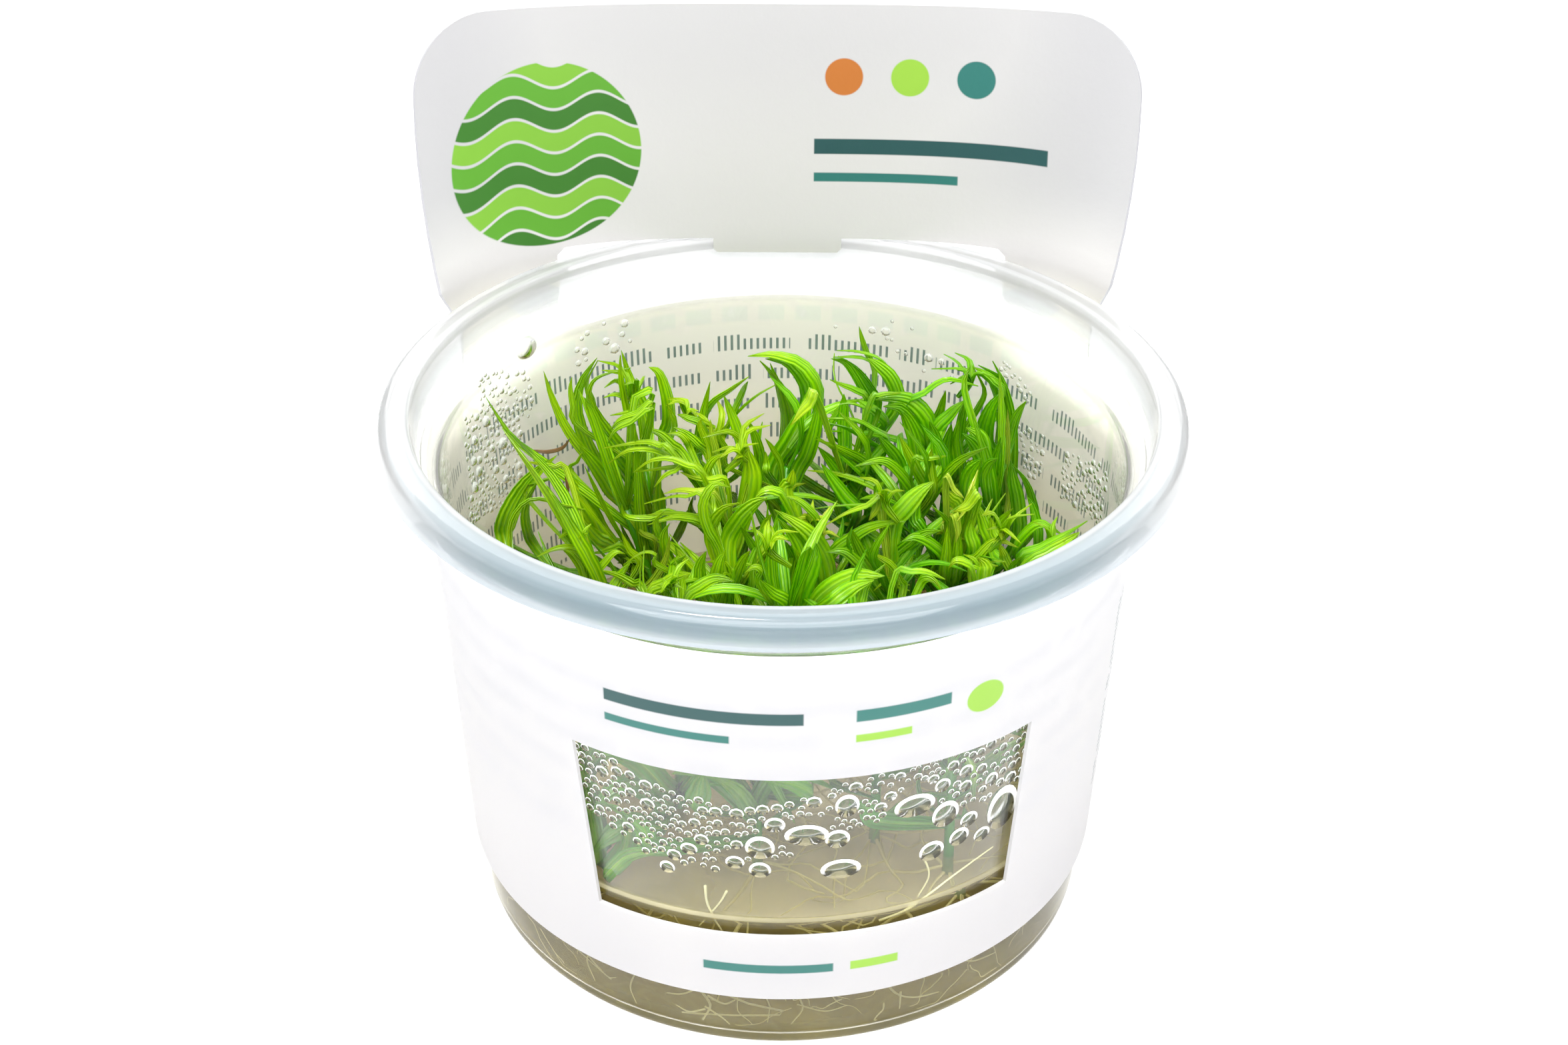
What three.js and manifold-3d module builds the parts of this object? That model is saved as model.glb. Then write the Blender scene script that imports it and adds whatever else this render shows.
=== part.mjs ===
// Tissue culture stem plants in a clear plastic cup, with a card sleeve that stands up as a header.
// Millimetres, +Z up. The base rests on Z = 0, the cup's axis is Z, the front is -Y and the header is
// at +Y. Pieces that touch in the real thing keep a gap of about 0.3 mm.
import * as THREE from 'three';
import { mergeVertices } from 'three/addons/utils/BufferGeometryUtils.js';
import Module from 'manifold-3d';

const wasm = await Module();
wasm.setup();

// Cup: a thin tapered wall, a stepped collar above it and a rim that rolls over into a skirt
const RIM_RADIUS = 51;
const CUP_HEIGHT = 71.2;
const BASE_RADIUS = 41.3;
const WALL_SLOPE = Math.tan(THREE.MathUtils.degToRad(2.7));
const WALL = 1.0;
const FLOOR = 1.2;
const LEDGE_HEIGHT = 63.1;
const SKIRT_DROP = 3.3;
const FLOOR_RADIUS = 39.3;
const FOOT_CHAMFER = [0.8, 1.3];
const COLLAR_OUTSIDE = [[46.5, LEDGE_HEIGHT + 1.5], [47.4, CUP_HEIGHT - 1.6]];
const COLLAR_INSIDE = [45.5, LEDGE_HEIGHT + 2.0];
const RIM_TOP = [[50.2, CUP_HEIGHT - 1.1], [49.2, CUP_HEIGHT - 0.25], [46.9, CUP_HEIGHT]];
const RIM_THICKNESS = 1.1;
const ROUND_SEGMENTS = 44;
const CLEARANCE = 0.3;

// Gel that the plants grow in
const GEL_TOP = 21;
const ROOT_DEPTH = 5;
const STEM_RADIUS = 0.95;
const POCKET_RADIUS = 1.55;

// Card: one sheet, wrapped round the cup as a sleeve and rising behind the rim as a header
const CARD = 0.5;
const SLEEVE_BOTTOM = 9.15;
const SLEEVE_TOP = 62.8;
const HEADER_TOP = 105;
const HEADER_CENTRE = -0.95;
const HEADER_HALF = 48.55;
const HEADER_FOOT_HALF = 42.2;
const HEADER_CORNER = 9.6;
const SLOT_TOP = CUP_HEIGHT + 0.35;
const SLOT_LEFT = -31.9;
const SLOT_RIGHT = 31.0;
const TAB_LEFT = -10.1;
const TAB_RIGHT = 8.0;
const TAB_DROP = 2.2;
const WINDOW_TOP = 45.0;
const WINDOW_BOTTOM = 19.8;
const WINDOW_TOP_EDGE = [-24.6, 29.7];
const WINDOW_BOTTOM_EDGE = [-22.3, 28.0];

// Plan shape of the header, a rounded square-cornered curve |x/a|^n + |y/b|^n = 1
const PLAN_POWER = 3.12;
const PLAN_HALF_WIDTH = [49.6, 66.5];
const PLAN_DEPTH = [44.85, 47.3];
const FLARE_START = 58.5;
const FLARE_END = 68;

// Turns from the back, in degrees: the strips beside the slot start to flare, and the flare fades out
const STRIP_TURN = [38, 60];
const FADE_TURN = [66, 115];
const SETTLE_HEIGHT = 4;
const PAST_EVERYTHING = 60;

// Plants: leaves stay under the mouth, and lower still near the front wall
const TIP_LIMIT = 66.3;
const FRONT_TIP_LIMIT = 60;
const FRONT_ZONE = -15;
const LEAVES_PER_SHOOT = 6;
const LEAF_STEPS = 3;
const LEAF_THICKNESS = 0.55;
const GOLDEN_ANGLE = THREE.MathUtils.degToRad(137.5);

// Where leaves sit on the stem, as shares of its height, and how they vary from the lowest to the highest
const LEAF_ZONE = [0.1, 0.6];
const STEM_SHARE = 0.62;
const HEADING_STEP = 1.9;
const HEADING_SPREAD = 0.8;
const LENGTH_GROWTH = [0.72, 1];
const LENGTH_SPREAD = [0.9, 1.08];
const BASE_OPENING = [2.2, 1];
const TIP_OPENING = [1.5, 1];
const TIP_SPREAD = [0.7, 1.3];
const SWEEP_GAIN = 1.5;
const LEAF_GAP = 0.35;

// One row a shoot: foot x, y; top x, y, z; leaf length, leaf width; spread of the leaves in degrees
// at their base and at their tip; sideways sweep of the tips in x and y
const SHOOTS = [
  { foot: [-2, 13], top: [2, 26, 64.5], length: 17, width: 2.4, spread: [32, 10], sweep: [-0.7, 0.0] },
  { foot: [8, 13], top: [9, 19, 64.5], length: 21, width: 2.4, spread: [22, 40], sweep: [-0.8, 0.1] },
  { foot: [10, 27], top: [12, 27, 66.0], length: 18, width: 2.0, spread: [6, 51], sweep: [-0.3, 0.4] },
  { foot: [18, 9], top: [17, 13, 62.0], length: 20, width: 2.4, spread: [25, 50], sweep: [-0.6, 0.0] },
  { foot: [21, 21], top: [24, 23, 62.5], length: 23, width: 2.2, spread: [25, 80], sweep: [1.0, 0.3] },
  { foot: [29, 9], top: [28, 17, 66.0], length: 25, width: 2.6, spread: [8, 14], sweep: [-0.25, 0.1] },
  { foot: [35, 0], top: [31, 7, 56.5], length: 20, width: 2.2, spread: [16, 72], sweep: [0.1, -0.4] },
  { foot: [33, -12], top: [36, -5, 51.0], length: 18, width: 2.2, spread: [25, 60], sweep: [0.5, 0.4] },
  { foot: [-16, 19], top: [-21, 21, 64.5], length: 22, width: 2.3, spread: [7, 20], sweep: [0.2, -0.2] },
  { foot: [-13, 7], top: [-26, 13, 63.5], length: 26, width: 2.6, spread: [7, 17], sweep: [0.1, 0.0] },
  { foot: [-8, 25], top: [-10, 24, 63.0], length: 18, width: 2.2, spread: [8, 35], sweep: [-0.1, -0.6] },
  { foot: [-5, 3], top: [-8, 9, 60.5], length: 17, width: 1.8, spread: [35, 75], sweep: [-0.3, 0.0] },
  { foot: [-19, -4], top: [-28, 0, 60.5], length: 27, width: 2.3, spread: [6, 19], sweep: [-0.5, 0.2] },
  { foot: [-35, -8], top: [-34, -6, 53.0], length: 20, width: 2.0, spread: [18, 63], sweep: [0.2, -0.1] },
  { foot: [-26, -17], top: [-24, -15, 53.5], length: 18, width: 2.2, spread: [24, 61], sweep: [0.1, 0.1] },
  { foot: [-13, -19], top: [-13, -16, 57.5], length: 19, width: 2.2, spread: [20, 45], sweep: [0.1, 0.2] },
  { foot: [1, -15], top: [1, -12, 59.5], length: 21, width: 3.0, spread: [14, 26], sweep: [0.1, 0.1] },
  { foot: [-7, -8], top: [-6, -4, 58.5], length: 18, width: 2.2, spread: [25, 55], sweep: [0.1, 0.1] },
  { foot: [12, -22], top: [12, -21, 57.5], length: 19, width: 2.6, spread: [25, 60], sweep: [0.4, 0.0] },
  { foot: [22, -1], top: [22, 0, 55.0], length: 17, width: 2.2, spread: [28, 60], sweep: [0.1, 0.1] },
  { foot: [24, -14], top: [26, -9, 55.5], length: 18, width: 2.2, spread: [25, 55], sweep: [0.1, 0.1] },
  { foot: [5, 0], top: [5, 3, 54.5], length: 16, width: 2.0, spread: [30, 60], sweep: [0.0, 0.1] },
  { foot: [13, -8], top: [15, -2, 57.5], length: 18, width: 2.4, spread: [25, 60], sweep: [0.2, 0.1] },
  { foot: [-3, -28], top: [-3, -26, 54.0], length: 17, width: 2.2, spread: [22, 45], sweep: [0.1, 0.1] },
  { foot: [21, -28], top: [21, -26, 51.5], length: 16, width: 2.2, spread: [25, 50], sweep: [0.2, 0.2] },
];

const lerp = THREE.MathUtils.lerp;
const radians = THREE.MathUtils.degToRad;

// Radii of the cup's wall at a height
function outerWall(z) {
  return BASE_RADIUS + WALL_SLOPE * z;
}

function innerWall(z) {
  return outerWall(z) - WALL;
}

// A repeatable number from 0 to 1 for each pair of whole numbers
function scatter(a, b) {
  const value = Math.sin(a * 12.9898 + b * 78.233) * 43758.5453;
  return value - Math.floor(value);
}

// Geometry with its shared vertices merged and its empty triangles dropped
function weld(geometry) {
  const bare = geometry.clone();
  bare.deleteAttribute('normal');
  bare.deleteAttribute('uv');
  const merged = mergeVertices(bare, 1e-4);
  const source = merged.index.array;
  const kept = [];
  for (let i = 0; i < source.length; i += 3) {
    const [a, b, c] = [source[i], source[i + 1], source[i + 2]];
    if (a !== b && b !== c && c !== a) {
      kept.push(a, b, c);
    }
  }
  merged.setIndex(kept);
  return merged;
}

function toSolid(geometry) {
  const merged = weld(geometry);
  return new wasm.Manifold(new wasm.Mesh({
    numProp: 3,
    vertProperties: new Float32Array(merged.attributes.position.array),
    triVerts: new Uint32Array(merged.index.array),
  }));
}

function toGeometry(solid) {
  const { vertProperties, triVerts } = solid.getMesh();
  const geometry = new THREE.BufferGeometry();
  geometry.setAttribute('position', new THREE.BufferAttribute(new Float32Array(vertProperties), 3));
  geometry.setIndex(new THREE.BufferAttribute(new Uint32Array(triVerts), 1));
  geometry.computeVertexNormals();
  return geometry;
}

// A profile of [radius, height] points turned round Z
function turned(points) {
  const profile = points.map(([r, z]) => new THREE.Vector2(r, z));
  return new THREE.LatheGeometry(profile, ROUND_SEGMENTS).rotateX(Math.PI / 2);
}

function cupGeometry() {
  const skirtBottom = CUP_HEIGHT - SKIRT_DROP;
  const floorCorner = 2 * FLOOR;
  const outside = [
    [0, 0], [BASE_RADIUS - FOOT_CHAMFER[0], 0], [outerWall(FOOT_CHAMFER[1]), FOOT_CHAMFER[1]],
    [outerWall(LEDGE_HEIGHT), LEDGE_HEIGHT], ...COLLAR_OUTSIDE,
  ];
  const rim = [[RIM_RADIUS - RIM_THICKNESS, skirtBottom], [RIM_RADIUS, skirtBottom], ...RIM_TOP];
  const inside = [
    COLLAR_INSIDE, [innerWall(LEDGE_HEIGHT), LEDGE_HEIGHT + 0.5],
    [innerWall(floorCorner), floorCorner], [FLOOR_RADIUS, FLOOR], [0, FLOOR],
  ];
  return weld(turned([...outside, ...rim, ...inside]));
}

// Plan point of the card's middle surface at an angle from the back and a height
function sheetPoint(angle, z) {
  const cone = outerWall(Math.min(z, SLEEVE_TOP)) + CLEARANCE + CARD / 2;
  const turn = Math.abs(THREE.MathUtils.radToDeg(angle));
  const rise = Math.max((z - SLOT_TOP) / (HEADER_TOP - SLOT_TOP), 0);
  const strip = THREE.MathUtils.smoothstep(turn, ...STRIP_TURN);
  const settle = THREE.MathUtils.clamp((z - SLEEVE_TOP) / SETTLE_HEIGHT, 0, 1);
  const around = lerp(strip, 1, settle) * (1 - THREE.MathUtils.smoothstep(turn, ...FADE_TURN));
  const flare = THREE.MathUtils.smoothstep(z, FLARE_START, FLARE_END) * around;
  const power = 2 / lerp(2, PLAN_POWER, flare);
  const halfWidth = lerp(cone, lerp(PLAN_HALF_WIDTH[0], PLAN_HALF_WIDTH[1], rise), flare);
  const depth = lerp(cone, lerp(PLAN_DEPTH[0], PLAN_DEPTH[1], rise), flare);
  const x = halfWidth * Math.sign(Math.sin(angle)) * Math.abs(Math.sin(angle)) ** power;
  const y = depth * Math.sign(Math.cos(angle)) * Math.abs(Math.cos(angle)) ** power;
  return new THREE.Vector3(x, y, z);
}

// Outward normal of the card's middle surface, from two short steps along it
function sheetNormal(angle, z) {
  const step = 0.01;
  const across = sheetPoint(angle + step, z).sub(sheetPoint(angle - step, z));
  const along = sheetPoint(angle, z + step).sub(sheetPoint(angle, z - step));
  return along.cross(across).normalize();
}

// Solid with an outline in the XZ plane, running from one Y to another
function outlineSolid(shape, fromY, toY) {
  const geometry = new THREE.ExtrudeGeometry(shape, {
    depth: toY - fromY, bevelEnabled: false, curveSegments: 4,
  });
  return toSolid(geometry.rotateX(Math.PI / 2).translate(0, toY, 0));
}

function headerOutline() {
  const foot = SLEEVE_TOP - 1.8;
  const shoulder = HEADER_TOP - HEADER_CORNER;
  const bend = lerp(foot, shoulder, 0.52);
  const left = HEADER_CENTRE - HEADER_HALF;
  const right = HEADER_CENTRE + HEADER_HALF;
  const shape = new THREE.Shape();
  shape.moveTo(HEADER_CENTRE - HEADER_FOOT_HALF, foot);
  shape.lineTo(HEADER_CENTRE + HEADER_FOOT_HALF, foot);
  shape.quadraticCurveTo(right, bend, right, shoulder);
  shape.absarc(right - HEADER_CORNER, shoulder, HEADER_CORNER, 0, Math.PI / 2, false);
  shape.absarc(left + HEADER_CORNER, shoulder, HEADER_CORNER, Math.PI / 2, Math.PI, false);
  shape.quadraticCurveTo(left, bend, HEADER_CENTRE - HEADER_FOOT_HALF, foot);
  return shape;
}

// The rim pokes out through the slot, and a small tab hangs from the slot's upper edge
function slotOutline() {
  const shape = new THREE.Shape();
  shape.moveTo(SLOT_LEFT, SLEEVE_TOP);
  shape.lineTo(SLOT_RIGHT, SLEEVE_TOP);
  shape.lineTo(SLOT_RIGHT, SLOT_TOP - 1);
  shape.lineTo(SLOT_RIGHT - 1, SLOT_TOP);
  shape.lineTo(TAB_RIGHT, SLOT_TOP);
  shape.lineTo(TAB_RIGHT, SLOT_TOP - TAB_DROP + 0.6);
  shape.lineTo(TAB_RIGHT - 0.6, SLOT_TOP - TAB_DROP);
  shape.lineTo(TAB_LEFT + 0.6, SLOT_TOP - TAB_DROP);
  shape.lineTo(TAB_LEFT, SLOT_TOP - TAB_DROP + 0.6);
  shape.lineTo(TAB_LEFT, SLOT_TOP);
  shape.lineTo(SLOT_LEFT + 1, SLOT_TOP);
  shape.lineTo(SLOT_LEFT, SLOT_TOP - 1);
  return shape;
}

function windowOutline() {
  const shape = new THREE.Shape();
  shape.moveTo(WINDOW_BOTTOM_EDGE[0], WINDOW_BOTTOM);
  shape.lineTo(WINDOW_BOTTOM_EDGE[1], WINDOW_BOTTOM);
  shape.lineTo(WINDOW_TOP_EDGE[1], WINDOW_TOP);
  shape.lineTo(WINDOW_TOP_EDGE[0], WINDOW_TOP);
  return shape;
}

function blockOutline(halfWidth, bottom, top) {
  const shape = new THREE.Shape();
  shape.moveTo(-halfWidth, bottom);
  shape.lineTo(halfWidth, bottom);
  shape.lineTo(halfWidth, top);
  shape.lineTo(-halfWidth, top);
  return shape;
}

// A tall thin tube in the sheet's shape, cut down to the sleeve, its window and slot, and the header
function cardGeometry() {
  const heights = [SLEEVE_BOTTOM, FLARE_START, 60.8, SLEEVE_TOP, 65, 67, 69.4, SLOT_TOP, HEADER_TOP + 1];
  const outside = heights.map((z) => new THREE.Vector2(2, z));
  const inside = heights.map((z) => new THREE.Vector2(1, z)).reverse();
  const tube = new THREE.LatheGeometry([...outside, ...inside, outside[0]], ROUND_SEGMENTS);
  const position = tube.attributes.position;
  for (let i = 0; i < position.count; i += 1) {
    const height = position.getY(i);
    const radius = Math.hypot(position.getX(i), position.getZ(i));
    const angle = Math.atan2(position.getX(i), position.getZ(i));
    const offset = radius > 1.5 ? CARD / 2 : -CARD / 2;
    const point = sheetPoint(angle, height).addScaledVector(sheetNormal(angle, height), offset);
    position.setXYZ(i, point.x, point.y, height);
  }
  // The tube's plan runs from +Y round to +X, which turns the lathe's faces inside out
  tube.index.array.reverse();
  const low = outlineSolid(blockOutline(PAST_EVERYTHING, 0, SLEEVE_TOP), -PAST_EVERYTHING, PAST_EVERYTHING);
  const header = outlineSolid(headerOutline(), 5, PAST_EVERYTHING);
  const sheet = toSolid(tube).intersect(low.add(header));
  const windowCut = outlineSolid(windowOutline(), -PAST_EVERYTHING, -20);
  const slotCut = outlineSolid(slotOutline(), 20, PAST_EVERYTHING);
  return toGeometry(sheet.subtract(windowCut).subtract(slotCut));
}

// Solid of a unit shape along Y, bent along a path: x scales across it, z through it
function bent(unit, path, across, halfWidth, halfDepth, profile) {
  const steps = path.length - 1;
  const position = unit.attributes.position;
  for (let i = 0; i < position.count; i += 1) {
    const t = THREE.MathUtils.clamp(position.getY(i) + 0.5, 0, 1);
    const k = Math.round(t * steps);
    const ahead = path[Math.min(k + 1, steps)];
    const behind = path[Math.max(k - 1, 0)];
    const tangent = ahead.clone().sub(behind).normalize();
    const side = across.clone().addScaledVector(tangent, -across.dot(tangent)).normalize();
    const normal = side.clone().cross(tangent);
    const size = profile(t) / (Math.hypot(position.getX(i), position.getZ(i)) || 1);
    const point = path[k].clone();
    point.addScaledVector(side, position.getX(i) * halfWidth * size);
    point.addScaledVector(normal, position.getZ(i) * halfDepth * size);
    position.setXYZ(i, point.x, point.y, point.z);
  }
  return toSolid(unit);
}

// Middle line of a shoot: straight from its foot in the gel to its top
function axisAt(shoot, z) {
  const t = THREE.MathUtils.clamp((z - GEL_TOP) / (shoot.top[2] - GEL_TOP), 0, 1.1);
  return new THREE.Vector2(lerp(shoot.foot[0], shoot.top[0], t), lerp(shoot.foot[1], shoot.top[1], t));
}

// Moves a leaf's point clear of the neighbouring shoots, the cup's wall and the gel
function keepClear(point, shoot, reach) {
  for (let pass = 0; pass < 4; pass += 1) {
    const own = axisAt(shoot, point.z);
    for (const other of SHOOTS) {
      if (other === shoot) {
        continue;
      }
      const away = axisAt(other, point.z).sub(own);
      const distance = away.length();
      away.normalize();
      const over = (point.x - own.x) * away.x + (point.y - own.y) * away.y - distance / 2 + reach;
      if (over > 0) {
        point.x -= away.x * over;
        point.y -= away.y * over;
      }
    }
    const limit = innerWall(point.z) - reach;
    const radius = Math.hypot(point.x, point.y);
    if (radius > limit) {
      point.x *= limit / radius;
      point.y *= limit / radius;
    }
    const highest = point.y < FRONT_ZONE ? FRONT_TIP_LIMIT : TIP_LIMIT;
    point.z = THREE.MathUtils.clamp(point.z, GEL_TOP + reach, highest - 0.4);
  }
  return point;
}

// Middle line of one leaf. The lower leaves spread wide, and the upper ones stand up
function leafPath(shoot, index, leaf) {
  const height = leaf / (LEAVES_PER_SHOOT - 1);
  const z = lerp(GEL_TOP, shoot.top[2], lerp(...LEAF_ZONE, height));
  const base = axisAt(shoot, z);
  const heading = leaf * GOLDEN_ANGLE + index * HEADING_STEP + scatter(index, leaf) * HEADING_SPREAD;
  const out = new THREE.Vector3(Math.cos(heading), Math.sin(heading), 0);
  const rise = new THREE.Vector3(
    shoot.top[0] - shoot.foot[0], shoot.top[1] - shoot.foot[1], shoot.top[2] - GEL_TOP).normalize();
  const sweep = new THREE.Vector3(shoot.sweep[0], shoot.sweep[1], 0);
  const lengthSpread = lerp(...LENGTH_SPREAD, scatter(index, leaf + 40));
  const length = shoot.length * lerp(...LENGTH_GROWTH, height) * lengthSpread;
  const tipSpread = lerp(...TIP_SPREAD, scatter(index, leaf + 80));
  const openBase = radians(shoot.spread[0] * lerp(...BASE_OPENING, height));
  const openTip = radians(shoot.spread[1] * lerp(...TIP_OPENING, height) * tipSpread);
  const reach = shoot.width / 2 + LEAF_GAP;
  const point = new THREE.Vector3(base.x, base.y, z);
  const path = [point.clone()];
  for (let k = 1; k <= LEAF_STEPS; k += 1) {
    const t = k / LEAF_STEPS;
    const open = lerp(openBase, openTip, t);
    const direction = rise.clone().multiplyScalar(Math.cos(open)).addScaledVector(out, Math.sin(open));
    direction.addScaledVector(sweep, t * t * SWEEP_GAIN).normalize();
    point.addScaledVector(direction, length / LEAF_STEPS);
    path.push(keepClear(point.clone(), shoot, reach));
  }
  return { path, out };
}

// Width along a leaf: slim where it leaves the stem, widest below the middle, pointed at the tip
function bladeProfile(t) {
  return (0.47 + 1.29 * t) * (1 - t) ** 0.4;
}

function leafSolid(shoot, index, leaf) {
  const { path, out } = leafPath(shoot, index, leaf);
  const across = new THREE.Vector3(-out.y, out.x, 0);
  const unit = new THREE.ConeGeometry(1, 1, 3, LEAF_STEPS);
  return bent(unit, path, across, shoot.width / 2 / 0.866, LEAF_THICKNESS, bladeProfile);
}

function stemSolid(shoot) {
  const stemTop = lerp(GEL_TOP, shoot.top[2], STEM_SHARE);
  const levels = [GEL_TOP - ROOT_DEPTH, GEL_TOP + 1, stemTop];
  const path = levels.map((z) => {
    const plan = axisAt(shoot, z);
    return new THREE.Vector3(plan.x, plan.y, z);
  });
  const unit = new THREE.CylinderGeometry(1, 1, 1, 4, levels.length - 1);
  return bent(unit, path, new THREE.Vector3(1, 0, 0), STEM_RADIUS, STEM_RADIUS, (t) => 1 - 0.25 * t);
}

// One plant: its stem with the leaves that grow from it
function shootGeometry(shoot, index) {
  let solid = stemSolid(shoot);
  for (let leaf = 0; leaf < LEAVES_PER_SHOOT; leaf += 1) {
    solid = solid.add(leafSolid(shoot, index, leaf));
  }
  return toGeometry(solid);
}

// A disc of gel with a pocket round the foot of each stem
function gelGeometry() {
  const bottom = FLOOR + CLEARANCE;
  const radiusAt = (z) => innerWall(z) - CLEARANCE;
  let gel = toSolid(turned([
    [0, bottom], [FLOOR_RADIUS - CLEARANCE, bottom], [radiusAt(2.8), 2.8],
    [radiusAt(GEL_TOP), GEL_TOP], [0, GEL_TOP],
  ]));
  const depth = ROOT_DEPTH + CLEARANCE;
  for (const shoot of SHOOTS) {
    const pocket = new THREE.CylinderGeometry(POCKET_RADIUS, POCKET_RADIUS, depth + 1, 5).rotateX(Math.PI / 2);
    pocket.translate(shoot.foot[0], shoot.foot[1], GEL_TOP + (1 - depth) / 2);
    gel = gel.subtract(toSolid(pocket));
  }
  return toGeometry(gel);
}

function piece(name, geometry, look) {
  const material = new THREE.MeshStandardMaterial(look);
  const mesh = new THREE.Mesh(geometry, material);
  mesh.name = name;
  return mesh;
}

const clearPlastic = { color: 0xe9eef2, roughness: 0.12, metalness: 0, transparent: true, opacity: 0.35 };
const paleCard = { color: 0xf1eff4, roughness: 0.6, metalness: 0 };
const brownGel = { color: 0xa39a5c, roughness: 0.15, metalness: 0, transparent: true, opacity: 0.7 };
const leafGreen = { color: 0x55a81c, roughness: 0.35, metalness: 0 };

const plant = new THREE.Group();
plant.add(piece('cup', cupGeometry(), clearPlastic));
plant.add(piece('card_sleeve', cardGeometry(), paleCard));
plant.add(piece('gel', gelGeometry(), brownGel));
SHOOTS.forEach((shoot, index) => {
  const name = `shoot_${String(index + 1).padStart(2, '0')}`;
  plant.add(piece(name, shootGeometry(shoot, index), leafGreen));
});

export default plant;
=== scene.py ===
"""Tissue culture stem plants in gel, in a clear plastic cup with a card sleeve and header.

Lengths in the shape functions, tables and materials are millimetres, +Z up, with the cup's axis on Z and its
front at -Y. Every finished mesh is in metres.
"""

import math

import bmesh
import bpy
from bpy.props import FloatProperty, FloatVectorProperty, IntProperty, PointerProperty
from mathutils import Matrix, Vector, noise

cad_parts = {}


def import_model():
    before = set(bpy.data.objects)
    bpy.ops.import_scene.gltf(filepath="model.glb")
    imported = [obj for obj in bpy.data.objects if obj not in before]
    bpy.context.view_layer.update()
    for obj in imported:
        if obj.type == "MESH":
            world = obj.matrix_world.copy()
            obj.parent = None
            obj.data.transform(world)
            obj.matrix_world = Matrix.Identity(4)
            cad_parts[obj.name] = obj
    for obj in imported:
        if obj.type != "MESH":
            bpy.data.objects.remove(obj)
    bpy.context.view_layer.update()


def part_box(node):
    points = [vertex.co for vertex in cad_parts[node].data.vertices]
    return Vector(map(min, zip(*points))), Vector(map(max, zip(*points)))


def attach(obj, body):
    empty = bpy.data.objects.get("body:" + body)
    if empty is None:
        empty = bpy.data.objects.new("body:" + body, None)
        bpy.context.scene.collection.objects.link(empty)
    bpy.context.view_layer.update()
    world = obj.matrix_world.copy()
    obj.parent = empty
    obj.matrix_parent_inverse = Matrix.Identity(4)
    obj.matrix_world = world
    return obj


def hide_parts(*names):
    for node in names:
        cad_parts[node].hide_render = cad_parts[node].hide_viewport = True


bl_info = {
    "name": "Plant Culture Cup",
    "version": (1, 0, 0),
    "blender": (4, 5, 0),
    "location": "View3D > Sidebar > Plant Cup",
    "description": "Builds stem plants in gel in a clear cup with a card sleeve",
    "category": "Object",
}

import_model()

MM = 0.001
CUP_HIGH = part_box("cup")[1]

# Cup
CUP_HEIGHT = 71.2
BASE_RADIUS = 41.3
WALL_SLOPE = math.tan(math.radians(2.7))
WALL = 1.0
FLOOR = 1.2
FLOOR_RADIUS = 39.3
LEDGE_HEIGHT = 63.1
SKIRT_DROP = 3.3
CLEARANCE = 0.3

# Gel
GEL_TOP = 21.0
ROOT_DEPTH = 5.0
GEL_SUNK = 0.35
GEL_STEPS = 96

# Card
CARD = 0.5
SLEEVE_BOTTOM = 9.15
SLEEVE_TOP = 62.8
HEADER_TOP = 105.0
HEADER_CENTRE = -0.95
HEADER_HALF = 48.55
HEADER_FOOT_HALF = 42.2
HEADER_CORNER = 9.6
SLOT_TOP = CUP_HEIGHT + 0.35
SLOT_LEFT, SLOT_RIGHT = -31.9, 31.0
TAB_LEFT, TAB_RIGHT, TAB_DROP = -10.1, 8.0, 2.2
WINDOW_TOP, WINDOW_BOTTOM = 45.0, 19.8
WINDOW_TOP_EDGE = (-24.6, 29.7)
WINDOW_BOTTOM_EDGE = (-22.3, 28.0)
PLAN_POWER = 3.12
PLAN_HALF_WIDTH = (49.6, 66.5)
PLAN_DEPTH = (44.85, 47.3)
FLARE_START, FLARE_END = 58.5, 68.0
STRIP_TURN = (38, 60)
FADE_TURN = (66, 115)
SETTLE_HEIGHT = 4
CARD_STEPS = 192
SLEEVE_MM_PER_DEGREE = 0.77

# Plants
TIP_LIMIT = 66.3
FRONT_TIP_LIMIT = 60.0
FRONT_ZONE = -15.0
CAD_LEAVES = 6
LEAF_STEPS = 3
GOLDEN_ANGLE = math.radians(137.5)
STEM_SHARE = 0.62
STEM_RADIUS = 0.95
PLAIN_ROWS, PLACED_ROWS = 9, 14
STEM_SIDES, STEM_ROWS = 6, 6
ROOT_SIDES, ROOT_ROWS = 4, 12
SHARP_TURN = 0.7

# Plastic, gel and water
PLASTIC_IOR, GEL_IOR, WATER_IOR = 1.49, 1.34, 1.33
WALL_MM_PER_DEGREE = 0.75
DROP_TRIES = 12
BASE_CHART_SHIFT = 2.0

# Camera
CAMERA_PLACE = Vector((0.137, -255.379, 214.095))
CAMERA_PITCH, CAMERA_ROLL = 0.5649, 0.0057
SENSOR_WIDTH = 36.0
FOCAL_LENGTH_PX, PHOTO_WIDTH_PX = 3500, 2352

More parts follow.
